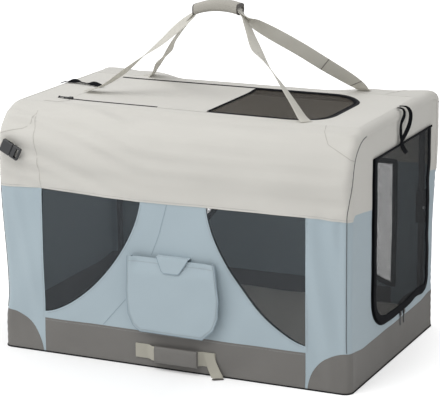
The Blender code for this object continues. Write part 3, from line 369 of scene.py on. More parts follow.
def woven(name, low, high, pitch=0.0012, sheen=0.25, glow=0.0, shine=0.25):
    """Plain-woven polyester. The yarns, drawn coarser than their real 0.5 mm, take the shine off it, the
    uneven dye and sheen make it read as cloth, and pale cloth lets some light through to the inside."""
    made, tree, shader, place = blank(name)
    waves = [knot(tree, "TexWave", {"bands_direction": axis}, Vector=place, Scale=WAVE_LENGTH / pitch,
                  Distortion=0.4, Detail=1.0)[1] for axis in "XY"]
    over = knot(tree, "TexChecker", Vector=place, Scale=1 / pitch)[1]
    yarns = knot(tree, "Mix", Factor=over, n2=waves[0], n3=waves[1])[0]
    soft = knot(tree, "TexNoise", Vector=place, Scale=60.0, Detail=4.0)[0]
    weave = knot(tree, "Bump", Height=yarns, Strength=0.35, Distance=0.0002)[0]
    crumple = knot(tree, "Bump", Height=soft, Strength=0.25, Distance=0.0012, Normal=weave)[0]
    dye = uneven(tree, place, 7.0, low, high, detail=5.0)
    shade = knot(tree, "Mix", {"data_type": "RGBA", "blend_type": "MULTIPLY"}, Factor=0.12, n6=dye,
                 n7=yarns)[2]
    feed(tree, shader, Base_Color=shade, Roughness=uneven(tree, place, 35.0, 0.78, 0.92), Normal=crumple,
         Sheen_Weight=sheen, Sheen_Roughness=0.5, Specular_IOR_Level=shine)
    if glow:
        let_light_through(tree, shader, shade, crumple, glow)
    return made


grey_cloth = woven("coated grey polyester", "6C6A67", "757370", sheen=0.1)
blue_cloth = woven("light blue polyester", "AEBDC5", "B7C6CD", glow=0.20)
cord_cover = woven("black piping", "141517", "1C1D1F", pitch=0.0009, sheen=0.0, shine=0.10)


def mirrored(outline, flip):
    return [(flip * u, v) for u, v in outline]


OVAL = ((0.452, 0.0), (0.100, 0.098))
OVAL_TOP = OVAL[1][1]
BAND_LIFT, PATCH_LIFT = 0.0005, 0.0004
rises_to = math.degrees(math.asin(BAND / OVAL_TOP))
low_arc = bow(*OVAL, 180, 180 - rises_to)
high_arc = bow(*OVAL, 180 - rises_to, 90, 6)
for side, wall in WALLS:
    place = long_wall(side)
    band = [(-SEAM_X, 0), (SEAM_X, 0), (SEAM_X, BAND), (-SEAM_X, BAND)]
    sew(f"{wall}_band", band, place, grey_cloth, lift=BAND_LIFT)
    for flip, hand in HANDS:
        tip = mirrored(high_arc + [(EDGE, OVAL_TOP), (EDGE, BAND)], flip)
        tip = sew(f"{wall}_corner_patch_top_{hand}", tip, place, grey_cloth, lift=PATCH_LIFT)
        folds_flat(tip)
        patch = mirrored(low_arc + [(EDGE, BAND), (EDGE, 0)], flip)
        sew(f"{wall}_corner_patch_{hand}", patch, place, grey_cloth, lift=PATCH_LIFT)
        wedge = mirrored([(SEAM_X, 0)] + low_arc + [(SEAM_X, BAND)], flip)
        sew(f"{wall}_corner_wedge_{hand}", wedge, place, blue_cloth)
rim = HALF_Y - ROLL
high_low = [(-rim, OVAL_TOP), (-rim + 0.05, BAND + 0.002), (-rim + 0.07, BAND)]
for side, hand in HANDS:
    place, tips = end_wall(side), []
    for flip in (-1, 1):
        tip = mirrored([(-rim, BAND)] + high_low, flip)
        tips.append(sew(f"end_band_tip_{hand}_{len(tips)}", tip, place, grey_cloth))
        folds_flat(tips[-1])
    band = [(-rim, 0), (rim, 0), (rim, BAND), (-rim, BAND)]
    sew(f"end_band_{hand}", band, place, grey_cloth)


def round_plan(half_x, half_y, radius):
    """A rectangle with round corners, anticlockwise."""
    outline = []
    for x, y, start in ((1, -1, 270), (1, 1, 0), (-1, 1, 90), (-1, -1, 180)):
        centre = (x * (half_x - radius), y * (half_y - radius))
        outline += bow(centre, (radius, radius), start, start + 90, 6)
    return outline


def on_floor(height):
    def place(x, y):
        return settled(x, y, height), Vector((0, 0, 1))
    return place


tray_plan = round_plan(HALF_X - CLOTH, HALF_Y - CLOTH, ROLL)
tray = sew("cover_floor", tray_plan, on_floor(CLOTH), grey_cloth, step=0.03)
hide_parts("bottom_cover")


def bridge(solid, rings, closed=False):
    """Faces from each ring of vertices to the next."""
    for ring, following in zip(rings, rings[1:] + (rings[:1] if closed else [])):
        for corner in range(len(ring)):
            far = (corner + 1) % len(ring)
            solid.faces.new([ring[corner], ring[far], following[far], following[corner]])


def heading(spots, index, closed):
    """The way that a path runs at one of its spots."""
    before = spots[index - 1] if closed or index else spots[index]
    after = spots[(index + 1) % len(spots)] if closed or index < len(spots) - 1 else spots[index]
    return after - before


def squared(value, power):
    """The cosine or sine of a round form. A power below 1 makes the form squarer."""
    return math.copysign(abs(value) ** power, value)


def tape(name, stations, width, thick, finish, body, closed=False, round_share=0.5, sides=10):
    """A strip or cord along stations of (point, width direction). Its edges are rounded."""
    solid = bmesh.new()
    spots = [point for point, _ in stations]
    rings, marks, run = [], {}, 0.0
    for index, (point, across) in enumerate(stations):
        along = heading(spots, index, closed).normalized()
        across = (across - along * across.dot(along)).normalized()
        up = along.cross(across)
        ring = []
        for corner in range(sides):
            angle = 2 * math.pi * corner / sides
            reach = squared(math.cos(angle), round_share) * width / 2
            rise = squared(math.sin(angle), 0.7) * thick / 2
            vert = solid.verts.new(point + across * reach + up * rise)
            marks[vert] = (reach, run)
            ring.append(vert)
        rings.append(ring)
        run += (spots[(index + 1) % len(spots)] - point).length
    bridge(solid, rings, closed)
    if not closed:
        solid.faces.new(rings[0])
        solid.faces.new(rings[-1])
    return show(name, solid, finish, body, marks, smooth=60)


def along_edge(outline, place, lift=0.0, step=0.008, closed=False):
    """Stations for a tape that follows a path drawn on a surface."""
    placed = [place(*point) for point in walk(outline, step, closed)]
    spots = [spot for spot, _ in placed]
    return [(spot + normal * lift, heading(spots, index, closed).cross(normal))
            for index, (spot, normal) in enumerate(placed)]


def lay(name, path, place, finish, body="base", *, width, thick=0.0016, lift=0.0, closed=False, step=0.008,
        sides=10):
    """A tape or cord sewn along a path drawn on a surface."""
    line = along_edge(path, place, lift, step, closed)
    return tape(name, line, width, thick, finish, body, closed=closed, sides=sides)


CORD, CORD_HEIGHT, OUTSIDE = 0.0034, 0.0018, 0.0002
foot_line = round_plan(HALF_X + OUTSIDE, HALF_Y + OUTSIDE, ROLL)
lay("bottom_piping", foot_line, on_floor(CORD_HEIGHT), cord_cover, width=CORD, thick=CORD, closed=True,
    sides=8)


# Fleece mat
# A loose mat of taupe fleece over wadding, which lies on the tray's floor. Its top is crowned and its
# long sides are drawn in a little between the corners.
def fleece(name, low, high):
    """Cut pile: tufts of 2.4 mm in clumps of 4 mm give it a dull, broken surface with a soft edge glow."""
    made, tree, shader, place = blank(name, "Object")
    clumps = knot(tree, "TexNoise", Vector=place, Scale=260.0, Detail=4.0, Roughness=0.7)[0]
    tufts = knot(tree, "TexVoronoi", Vector=place, Scale=420.0)[0]
    pile = knot(tree, "Math", {"operation": "SUBTRACT"}, n0=clumps, n1=tufts)[0]
    bump = knot(tree, "Bump", Height=pile, Strength=0.8, Distance=0.003)[0]
    feed(tree, shader, Base_Color=uneven(tree, place, 120.0, low, high, detail=6.0), Normal=bump,
         Roughness=uneven(tree, place, 60.0, 0.9, 1.0), Sheen_Weight=0.6, Sheen_Roughness=0.6,
         Specular_IOR_Level=0.1)
    return made


MAT_X, MAT_Y, MAT_CORNER = 0.412, 0.260, 0.050
MAT_FOOT, MAT_HEIGHT, MAT_EDGE, MAT_PUFF = 0.0018, 0.0590, 0.016, 0.0025
SEAM_SHARE = 0.35


def cushion(name, outline, finish, body):
    """A crowned pad: full in the middle, and rolled down to a seam a third of the way up its side."""
    points, faces = net(outline, (), 0.010)
    rim = finder(walk(outline, 0.004))
    solid = bmesh.new()
    top, bottom, marks = {}, {}, {}
    seam_z = MAT_HEIGHT * SEAM_SHARE
    for index in {corner for face in faces for corner in face}:
        u, v = points[index]
        share = min(1.0, rim.find((u, v, 0))[2] / MAT_EDGE)
        bulge = math.sqrt(max(0.0, 1 - (1 - share) ** 2))
        puff = MAT_PUFF * bulge * (hum(14 * u, 14 * v, 2) - 0.5)
        crown = MAT_FOOT + seam_z + (MAT_HEIGHT - seam_z) * bulge + puff
        top[index] = bottom[index] = solid.verts.new(Vector((u, v, crown)) + SHIFT)
        if bulge:
            under = MAT_FOOT + seam_z * (1 - min(1, 1.2 * bulge))
            bottom[index] = solid.verts.new(Vector((u, v, under)) + SHIFT)
        marks[top[index]] = marks[bottom[index]] = (u, v)
    for face in faces:
        solid.faces.new([top[corner] for corner in face])
        if any(bottom[corner] != top[corner] for corner in face):
            solid.faces.new([bottom[corner] for corner in reversed(face)])
    return show(name, solid, finish, body, marks)


# The pile is painted much paler than taupe fleece: painted light that makes up for the dim light inside the
# crate.
mat_pile_painted_pale = fleece("taupe fleece", "DCD5C6", "EAE4D8")
mat_plan = []
for x, y in walk(round_plan(MAT_X, MAT_Y, MAT_CORNER), 0.02):
    drawn_x, drawn_y = 0.006 * math.cos(math.pi * y / 2 / MAT_Y), 0.012 * math.cos(math.pi * x / 2 / MAT_X)
    mat_plan.append((x * (1 - drawn_x), y * (1 - drawn_y)))
mat = cushion("fleece_mat_padded", mat_plan, mat_pile_painted_pale, "base")
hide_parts("fleece_mat")


# Long walls
# Beige cloth comes down from the shoulder to the colour change, and below it a bell-shaped pillar of
# blue cloth stands between two windows of knitted mesh. Black tape binds each window on the inside.
def netting(name, low, high, cover, pitch=0.0015):
    """Knitted mesh: round holes between yarns, at the real pitch. About half of the light comes through."""
    made, tree, shader, place = blank(name)
    turned = knot(tree, "Mapping", Vector=place, Rotation=(0, 0, math.radians(45)))[0]
    cells = knot(tree, "TexVoronoi", {"voronoi_dimensions": "2D"}, Vector=turned, Scale=1 / pitch,
                 Randomness=0.0)[0]
    hole = math.sqrt((1 - cover) / math.pi)
    solid = knot(tree, "MapRange", {"interpolation_type": "SMOOTHSTEP"}, Value=cells,
                 From_Min=hole - 0.06, From_Max=hole + 0.06)[0]
    bump = knot(tree, "Bump", Height=cells, Strength=0.5, Distance=0.0002)[0]
    feed(tree, shader, Base_Color=uneven(tree, place, 30.0, low, high), Alpha=solid, Normal=bump,
         Roughness=uneven(tree, place, 50.0, 0.7, 0.85), Specular_IOR_Level=0.2)
    return made


beige_cloth = woven("beige polyester", "D3D1CB", "DBD9D3", glow=0.20)
wall_mesh = netting("knitted mesh", "45494D", "505458", cover=0.44)
black_tape = woven("black binding tape", "0B0C0F", "121317", pitch=0.0010, sheen=0.0, shine=0.06)
UPPER_LIFT, MESH_LIFT, BINDING_LIFT = 0.0011, -0.0016, -0.0032
MESH_MARGIN, BINDING_MARGIN, BINDING_WIDTH = 0.006, 0.0075, 0.014
PILLAR_HEAD, PILLAR_OFF, WINDOW_FOOT = 0.086, 0.008, 0.105


def swept_window(flip, grow=0.0):
    """A window's swept inner edge, from the colour change down to its foot, and its whole outline. The
    pillar stands a little right of the middle."""
    outer, top = SEAM_X + grow, CHANGE + grow
    reach_x, reach_z = SEAM_X - PILLAR_HEAD - flip * PILLAR_OFF + 2 * grow, CHANGE - WINDOW_FOOT + 2 * grow
    curve = []
    for index in range(25):
        angle = math.pi / 2 * index / 24
        across, down = reach_x * math.cos(angle) ** (4 / 3), reach_z * math.sin(angle) ** (4 / 3)
        curve.append((flip * (outer - across), top - down))
    return curve, [(flip * outer, top)] + curve


left_curve, right_curve = swept_window(-1)[0], swept_window(1)[0]
HEM = [(-EDGE, -0.001), (-SEAM_X, 0.004), (-0.086, -0.004), (0.100, -0.001), (SEAM_X, 0.001), (EDGE, -0.002)]
hem = [(u, CHANGE + rise) for u, rise in HEM]
UNDER_HEM = CHANGE + 0.008
for side, wall in WALLS:
    place = long_wall(side)
    pillar = [(SEAM_X, BAND)] + right_curve[::-1] + [(right_curve[0][0], UNDER_HEM)]
    pillar += [(left_curve[0][0], UNDER_HEM)] + left_curve + [(-SEAM_X, BAND)]
    middle = sew(f"{wall}_pillar", pillar, place, blue_cloth)
    folds_flat(middle)
    upper = hem + [(EDGE, ROOF), (-EDGE, ROOF)]
    folds_flat(sew(f"{wall}_upper", upper, place, beige_cloth, lift=UPPER_LIFT))
    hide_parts(f"{wall}_wall")
    for flip, hand in HANDS:
        strip = [(SEAM_X, BAND)] + high_arc + [(EDGE, OVAL_TOP), (EDGE, UNDER_HEM), (SEAM_X, UNDER_HEM)]
        folds_flat(sew(f"{wall}_strip_{hand}", mirrored(strip, flip), place, blue_cloth))
        behind = swept_window(flip, MESH_MARGIN)[1]
        window = sew(f"{wall}_mesh_{hand}", behind, place, wall_mesh, thick=NET, lift=MESH_LIFT)
        folds_flat(window)
        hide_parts(f"{wall}_window_{hand}")
        bound = swept_window(flip, BINDING_MARGIN)[1]
        folds_flat(lay(f"{wall}_window_binding_{hand}", bound, place, black_tape, width=BINDING_WIDTH,
                       lift=BINDING_LIFT, closed=True))


# End walls
# Flat panels, sewn to the rolled edges of the long walls with a piped seam. The right one has the
# doorway, with the zip's tape round it, and the left one is plain.
def end_outline():
    """The flat end above the colour change, from its front foot over the top to its back foot."""
    radius, tight = SHOULDER - ROLL, TIGHT - ROLL
    front = bow((-FLAT_Y, WALL), (radius, radius), 180, 90)
    back = bow((HALF_Y - TIGHT, TOP - TIGHT), (tight, tight), 90, 0)
    return [(-rim, CHANGE)] + front + back + [(rim, CHANGE)]


# Towards the doorway the colour change comes down from the corner.
END_HEM = [(-0.255, CHANGE + 0.009), (-0.200, CHANGE + 0.003)]
DOOR = ((-0.143, 0.107), (0.255, 0.530))
DOORWAY, HEM_DROP, END_LIFT = 0.010, 0.006, 0.0002
FRONT_FOOT, BACK_FOOT = (0.100, 0.078), 0.045


def door_plan(inset):
    """The door's outline from its hinge at the top front, round its foot and back up to the hinge."""
    (left, bottom), (right, top) = DOOR
    left, bottom, right, top = left + inset, bottom + inset, right - inset, top - 0.3 * inset
    wide, high, back = FRONT_FOOT[0] - inset, FRONT_FOOT[1] - inset, BACK_FOOT - inset
    return ([(left, top)] + bow((left + wide, bottom + high), (wide, high), 180, 270, 10)
            + bow((right - back, bottom + back), (back, back), 270, 360, 8) + [(right, top)])


opening = door_plan(DOORWAY)
door_left, door_right = DOOR[0][0] + DOORWAY, DOOR[1][0] - DOORWAY
for side, hand in HANDS:
    place = end_wall(side)
    upper = end_outline()
    lower = high_low + [(-u, t) for u, t in high_low[::-1]] + [(rim, CHANGE)]
    if side == 1:
        doorway_hem = (door_left, CHANGE - HEM_DROP)
        upper += [(door_right, CHANGE), opening[-1], opening[0], doorway_hem] + END_HEM[::-1]
        lower += [(door_right, CHANGE)] + opening[-2:0:-1] + [doorway_hem] + END_HEM[::-1]
    lower += [(-rim, CHANGE)]
    panel = sew(f"end_upper_{hand}", upper, place, beige_cloth, lift=END_LIFT)
    folds_flat(panel)
    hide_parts(f"end_wall_{hand}")
    folds_flat(sew(f"end_lower_{hand}", lower, place, blue_cloth))

fillet = [(FLAT_X, ROOF), (EDGE, ROOF), (EDGE, ROOF + 2 * FLAT_Y), (FLAT_X, ROOF + 2 * FLAT_Y)]
for flip, hand in HANDS:
    folds_flat(sew(f"roof_edge_{hand}", mirrored(fillet, flip), long_wall(-1), beige_cloth, lift=UPPER_LIFT))

PIPING, PIPING_LIFT, PIPING_FOOT, PIPING_POINTS = 0.0016, 0.0010, 0.100, 40


def corner_line(flip, side):
    """The piped seam climbs the rolled corner. At the front it moves to the end panel at the shoulder."""
    middle, moves, top = (0.7, 1.2, ROOF) if flip > 0 else (1.7, 0.2, ROOF)
    if side > 0:
        middle, moves, top = 0.35, 0.0, WALL
    line = []
    for index in range(PIPING_POINTS):
        t = PIPING_FOOT + (top - PIPING_FOOT) * index / (PIPING_POINTS - 1)
        turned = middle + moves * ease((t - CHANGE) / 0.12)
        line.append((flip * (FLAT_X + ROLL * math.pi / 4 * turned), t))
    return line


corner_pipe = woven("grey piping", "4C4E50", "585A5C", pitch=0.0009, sheen=0.05)
for side, wall in WALLS:
    for flip, hand in HANDS:
        folds_flat(lay(f"{wall}_corner_piping_{hand}", corner_line(flip, side), long_wall(side), corner_pipe,
                       width=PIPING, thick=PIPING, lift=PIPING_LIFT, sides=6))


THREAD = 0.0009


def stitched(name, shade, pitch=0.0036):
    """A row of machine stitches: only the thread shows, as short dashes along the middle of a strip."""
    made, tree, shader, place = blank(name)
    across, along = knot(tree, "SeparateXYZ", Vector=place)[:2]
    beat = knot(tree, "Math", {"operation": "PINGPONG"}, n0=along, n1=pitch / 2)[0]
    reach = knot(tree, "Math", {"operation": "ABSOLUTE"}, n0=across)[0]
    long_part = knot(tree, "Math", {"operation": "LESS_THAN"}, n0=beat, n1=pitch * 0.36)[0]
    thin_part = knot(tree, "Math", {"operation": "LESS_THAN"}, n0=reach, n1=THREAD / 2)[0]
    dash = knot(tree, "Math", {"operation": "MULTIPLY"}, n0=long_part, n1=thin_part)[0]
    twist = knot(tree, "Bump", Height=beat, Strength=0.6, Distance=0.0006)[0]
    feed(tree, shader, Base_Color=uneven(tree, place, 300.0, shade, "A8ABAC"), Alpha=dash, Normal=twist,
         Roughness=uneven(tree, place, 200.0, 0.5, 0.7), Sheen_Weight=0.2)
    return made


THREAD_STRIP, PRESSED = 0.0030, 0.0014


def seam(name, path, place, finish, body="base", *, lift, width=PRESSED):
    """A pressed seam or a row of stitches: a strip a fraction of a millimetre above the cloth."""
    return lay(name, path, place, finish, body, width=width, thick=0.0005, lift=lift, sides=6)


# The darker blue of the seams also paints shade, along the pillar's creases and the pocket tab's edge.
blue_seam_and_shade = woven("blue seam and painted shade", "8798A3", "91A1AB", pitch=0.0009)
beige_seam = woven("beige seam", "B2AFA8", "BBB8B1", pitch=0.0009)
blue_thread = stitched("blue sewing thread", "7E8E99")
beige_thread = stitched("beige sewing thread", "B4B0A7")
grey_thread = stitched("grey sewing thread", "55534F")
OVER_BEIGE, OVER_BLUE = 0.0014, 0.0003
CORNER_SEAMS = {
    -1: [(0.375, 0.619), (0.379, 0.579), (0.395, 0.561), (0.450, 0.544)],
    1: [(0.359, 0.662), (0.367, 0.630), (0.389, 0.591), (0.415, 0.577), (0.449, 0.559), (0.464, 0.559)],
}
for side, wall in WALLS:
    place = long_wall(side)
    lines = {"hem_thread": ([(0.985 * u, t + 0.005) for u, t in hem], beige_thread),
             "band_thread": ([(-SEAM_X, BAND - 0.005), (SEAM_X, BAND - 0.005)], grey_thread)}
    for flip, hand in HANDS:
        if flip < 0:
            lines["upright_seam"] = ([(-SEAM_X, CHANGE + 0.004), (-0.372, 0.600)], beige_seam)
        lines[f"corner_seam_{hand}"] = (mirrored(CORNER_SEAMS[flip], flip), beige_seam)
        inside = [(u - flip * 0.003, t - 0.003) for u, t in swept_window(flip)[0][1:]]
        lines[f"window_thread_{hand}"] = (inside, blue_thread)
        beside = flip * (SEAM_X + 0.004)
        lines[f"strip_thread_{hand}"] = ([(beside, BAND), (beside, CHANGE)], blue_thread)
    # Darker blue strips along two creases in the front pillar: painted shade in the folds.
    if side < 0:
        lines["pillar_crease"] = ([(-0.007, CHANGE - 0.004), (-0.030, 0.333), (-0.050, 0.282)], blue_seam_and_shade)
        lines["foot_crease"] = ([(-0.122, 0.162), (-0.185, BAND + 0.002)], blue_seam_and_shade)
    for name, (path, finish) in lines.items():
        lift = OVER_BEIGE if finish in (beige_thread, beige_seam) else OVER_BLUE
        width = THREAD_STRIP if "thread" in name else PRESSED
        folds_flat(seam(f"{wall}_{name}", path, place, finish, lift=lift, width=width))


# End door
# One panel of a closer mesh, bound with black tape. It is hinged at the top, and its zip runs down
# both sides and along the bottom, where its two sliders meet. The zip's other tape edges the doorway,
# black and wide, so that it also paints the shadow of the gap where the zip gapes.
DOOR_GAP, DOOR_RIPPLE, PUCKER, GAPE = 0.0020, 0.0012, 0.008, 0.002
DOOR_MIDDLE = Vector((0.056, 0.32))


def on_door(y, z):
    ripple = DOOR_RIPPLE * ease((0.50 - z) / 0.2) * hum(9 * y, 9 * z, 4)
    return settled(HALF_X + DOOR_GAP + ripple, y, z), Vector((1, 0, 0))


def rippled(outline, spread=0.0):
    """The tapes pucker where the mesh pulls them in, most of all down the back edge. A spread moves a
    tape outwards below the middle of the door, where the zip gapes."""
    moved = []
    for y, z in walk(outline, 0.008, closed=False):
        pull = PUCKER * ease((0.52 - z) / 0.1) * (0.35 + 0.65 * ease((y - 0.1) / 0.1))
        gape = spread * ease((0.50 - z) / 0.25)
        away = (Vector((y, z)) - DOOR_MIDDLE).normalized()
        moved.append((y + away.x * gape + pull * (hum(3 * y, 15 * z, 1) - 0.4),
                      z + away.y * gape + pull * 0.8 * hum(15 * y, 5 * z, 6)))
    return moved


door_net = netting("close knitted mesh", "1E2022", "282B2E", cover=0.58)
door_mesh = sew("end_door_mesh", door_plan(0.012), on_door, door_net, "end_door", thick=NET)
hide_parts("end_door")
door_tape = lay("end_door_binding", rippled(door_plan(0.0115)), on_door, black_tape, "end_door", width=0.019,
                thick=0.0030, lift=0.0008)
hinge_z = DOOR[1][1] - 0.003
hinge = [(DOOR[0][0] + 0.001, hinge_z), (DOOR[1][0] - 0.001, hinge_z)]
hinge_tape = lay("end_door_hinge_tape", hinge, on_door, black_tape, "end_door", width=0.006, thick=0.0024,
                 lift=0.0006)
for piece in (door_mesh, door_tape, hinge_tape):
    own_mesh(piece)
# The doorway's zip tape is laid wide and black, and spread out where the zip gapes: partly the real tape,
# and partly painted shadow of the zip's open gap.
doorway_tape_and_gap_shadow = lay("doorway_zip_tape_and_gap_shadow", rippled(door_plan(0.005), spread=GAPE), end_wall(1), black_tape,
                   width=0.013, thick=0.0014, lift=0.0005)
folds_flat(doorway_tape_and_gap_shadow)


# Roof
# The flat roof is held between the two rails and sags a little between them. A door is cut in it: cloth
# at its hinge on the left, mesh at the right, and a coil zip in a black tape down its other sides.
ROOF_LIFT, ROOF_SAG, ROOF_WAVE = 0.0006, 0.0050, 0.0005


def on_roof(x, y):
    inside = ease((FLAT_X - abs(x)) / 0.14) * ease((FLAT_Y - abs(y)) / 0.09)
    waves = ROOF_WAVE * hum(6 * x, 7 * y, 8) * ease((FLAT_X - abs(x)) / 0.04) * ease((0.175 - abs(y)) / 0.04)
    return settled(x, y, TOP + ROOF_LIFT - ROOF_SAG * inside + waves), Vector((0, 0, 1))


ROOF_DOOR = (-0.350, 0.331, 0.158)
CORNER, TAPER, MESH_X = 0.095, 0.024, 0.030


def roof_door_plan(inset, start_x=None):
    """The roof door from its front left corner, with the tapered front edge and two round corners."""
    left, right, half = ROOF_DOOR[0] + inset, ROOF_DOOR[1] - inset, ROOF_DOOR[2] - inset
    radius = CORNER - inset
    start = left if start_x is None else start_x
    front = -half + TAPER * (right - radius - start) / (right - radius - left)
    outline = [(start, front)]
    outline += bow((right - radius, -half + radius), (radius, radius), 270, 360)
    outline += bow((right - radius, half - radius), (radius, radius), 0, 90)
    return [point for point in outline if point[0] >= start] + [(start, half)]


coil_tape = woven("zip tape and coil", "1B1B1E", "26262A", pitch=0.0016, sheen=0.0, shine=0.12)
# The roof is the walls' beige cloth painted a little lighter: painted light on the top of the crate.
lit_roof_cloth = woven("beige polyester painted lighter for the roof", "D8D6D0", "E0DED8", glow=0.20)
roof_mesh = netting("knitted roof mesh", "504B45", "5B554E", cover=0.45)
roof_plan = [(-FLAT_X, -FLAT_Y), (FLAT_X, -FLAT_Y), (FLAT_X, FLAT_Y), (-FLAT_X, FLAT_Y)]
panel = sew("lit_roof_cloth", roof_plan, on_roof, lit_roof_cloth, "roof", holes=[roof_door_plan(-0.0006)])
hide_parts("roof_panel")
door_cloth = sew("roof_door_flap", roof_door_plan(0.0), on_roof, lit_roof_cloth, "roof_door",
                 holes=[roof_door_plan(0.005, MESH_X)])
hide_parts("roof_door_cloth")
door_window = sew("roof_door_window", roof_door_plan(0.002, MESH_X - 0.006), on_roof, roof_mesh, "roof_door",
                  thick=NET, lift=-0.0014)
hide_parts("roof_door_mesh")
lay("roof_zip_tape", roof_door_plan(-0.0003), on_roof, coil_tape, "roof", width=0.0080, lift=0.0004, sides=8)
patch = [(-0.385, -0.186), (-0.350, -0.186), (-0.334, -0.166), (-0.342, -0.139)]
seam("roof_patch_seam", patch, on_roof, beige_seam, "roof", lift=0.0004)
placket = [(-0.097, -0.1444), (0.036, -0.1498)]
lay("roof_zip_placket", placket, on_roof, lit_roof_cloth, "roof", width=0.0150, lift=0.0012)
tail_end = [(-0.380, -0.118), (-0.373, -0.138), (-0.366, -0.121), (-0.358, -0.139), (-0.350, -0.131)]
lay("roof_zip_tail", tail_end, on_roof, coil_tape, "roof", width=0.0040, lift=0.0006, step=0.004, sides=8)
lay("roof_mesh_binding", roof_door_plan(0.007, MESH_X), on_roof, black_tape, "roof_door", width=0.009,
    thick=0.0012, lift=0.0003, closed=True)


# Pocket
# A patch pocket of the blue cloth, with a gusset round its sides and foot that holds its face off the
# pillar. It is open at the top, and a tab hangs over its mouth.
POCKET_X, POCKET_FOOT, POCKET_TOP = 0.012, 0.0925, 0.279
RIM_STAND, RIM_ROUND, FACE_ROUND, FACE_SAG, MOUTH_LEAN = 0.0165, 0.012, 0.0035, 0.0016, 0.0070
GUSSET_WIDE, GUSSET_MIDDLE, COVER_GAP = 0.0164, 0.0085, 0.0003
BAG = [(-0.106, POCKET_TOP), (-0.110, 0.192), (-0.106, 0.135), (-0.094, 0.108), (-0.076, 0.0940),
       (0.090, 0.0925), (0.118, 0.118), (0.130, 0.148), (0.133, 0.192), (0.123, POCKET_TOP)]


def on_pocket(x, z):
    """The pocket's face. It is rounded off at its rim, and leans back to the wall at its mouth."""
    spot = Vector((x, z))
    inside = 1.0
    for start, finish in zip(BAG, BAG[1:]):
        share = geometry.intersect_point_line(spot, Vector(start), Vector(finish))[1]
        near = Vector(start).lerp(Vector(finish), min(1, max(0, share)))
        inside = min(inside, (spot - near).length)
    share = min(1.0, inside / RIM_ROUND)
    stand = RIM_STAND + FACE_ROUND * math.sqrt(1 - (1 - share) ** 2)
    stand -= FACE_SAG * share * (1 + hum(15 * x, 13 * z, 3))
    stand -= MOUTH_LEAN * ease((z - 0.235) / 0.040) * ease(inside / 0.03)
    return Vector((x, -HALF_Y - COVER_GAP - stand, z)) + SHIFT, Vector((0, -1, 0))


def on_gusset(x, z):
    return Vector((x, -HALF_Y - GUSSET_MIDDLE, z)) + SHIFT, Vector((0, -1, 0))


bag = sew("pocket_face", BAG, on_pocket, blue_cloth, step=0.005)
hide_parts("pocket")
tucked = [(POCKET_X + 0.935 * (x - POCKET_X), POCKET_FOOT + 0.007 + 0.962 * (z - POCKET_FOOT))
          for x, z in BAG]
gusset = [(spot, Vector((0, 1, 0))) for spot, _ in along_edge(tucked, on_gusset)]
bag_parts = [bag, tape("pocket_gusset", gusset, GUSSET_WIDE, CLOTH, blue_cloth, "base")]
BAG_LINES = (("thread", 0.97, blue_thread, THREAD_STRIP), ("seam", 0.999, blue_seam_and_shade, 0.0016))
for kind, inset, finish, width in BAG_LINES:
    line = [(POCKET_X + inset * (x - POCKET_X), POCKET_TOP + inset * (z - POCKET_TOP)) for x, z in BAG]
    bag_parts.append(seam(f"pocket_{kind}", line, on_pocket, finish, lift=OVER_BLUE, width=width))
mouth = [(BAG[0][0] + 0.004, POCKET_TOP - 0.012), (BAG[-1][0] - 0.004, POCKET_TOP - 0.012)]
hem_thread = seam("pocket_hem_thread", mouth, on_pocket, blue_thread, lift=OVER_BLUE, width=THREAD_STRIP)
bag_parts.append(hem_thread)
for piece in bag_parts:
    folds_flat(piece)
TAB_REACH, TAB_Z, TAB_SLOPE, TAB_WAVE = 0.0165, 0.285, 0.110, 0.0006


def on_flap(x, v):
    """The tab comes out over the pocket's mouth, then bends down. v is the cloth's length from the wall."""
    bend = min(1.0, max(0.0, (v - TAB_REACH + 0.004) / 0.008))
    down = max(0.0, v - TAB_REACH)
    out = min(v, TAB_REACH) + TAB_SLOPE * down
    normal = Vector((0, -math.sin(bend * math.pi / 2), math.cos(bend * math.pi / 2)))
    wave = TAB_WAVE * bend * hum(20 * x, 20 * v, 1)
    return Vector((x, -HALF_Y - COVER_GAP - out - wave, TAB_Z - down)) + SHIFT, normal


TAB = [(-0.042, 0.0), (0.043, 0.0), (0.043, 0.0170), (0.022, 0.0505), (0.017, 0.0545), (-0.020, 0.0545),
       (-0.026, 0.0500), (-0.040, 0.0170)]
tab = [(POCKET_X + x, v) for x, v in TAB]
flap = sew("pocket_tab", tab, on_flap, blue_cloth, "pocket_flap", step=0.004, thick=0.0014)
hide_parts("pocket_flap")
# A darker blue strip down the tab's sides and round its foot: its stitched edge, and painted shadow along
# that edge.
tab_seam_and_shadow = seam("pocket_tab_seam_and_shadow", tab[2:], on_flap, blue_seam_and_shade, "pocket_flap", lift=0.0001, width=0.0018)
for piece in (flap, tab_seam_and_shadow):
    folds_flat(piece)


# Carry straps and grip
# Two straps of ribbed cotton-like webbing, sewn to the roof at four places, which meet in a padded
# grip wrapped round them. They twist on their way up.
def ribbed(name, low, high, pitch=0.0022, glow=0.35):
    """Webbing: ribs along it and finer yarns across, which catch the light in lines. It is loosely woven
    enough for light to come through to its shaded face."""
    made, tree, shader, place = blank(name)
    scale = WAVE_LENGTH / pitch
    ribs = knot(tree, "TexWave", Vector=place, Scale=scale)[1]
    yarns = knot(tree, "TexWave", {"bands_direction": "Y"}, Vector=place, Scale=scale * 1.6,
                 Distortion=0.5)[1]
    height = knot(tree, "Math", {"operation": "MULTIPLY_ADD"}, n0=yarns, n1=0.4, n2=ribs)[0]
    bump = knot(tree, "Bump", Height=height, Strength=0.5, Distance=0.0003)[0]
    feed(tree, shader, Base_Color=uneven(tree, place, 25.0, low, high), Normal=bump,
         Roughness=uneven(tree, place, 40.0, 0.75, 0.9), Sheen_Weight=0.25, Specular_IOR_Level=0.25)
    let_light_through(tree, shader, linear(high), bump, glow)
    return made


webbing = ribbed("pale webbing", "D0CEC6", "DAD8D1")
handle_webbing = ribbed("beige webbing", "B8B5A9", "C4C1B5")
bar_thread = woven("grey bar tack", "6E6B65", "7B7770", pitch=0.0009, sheen=0.05)


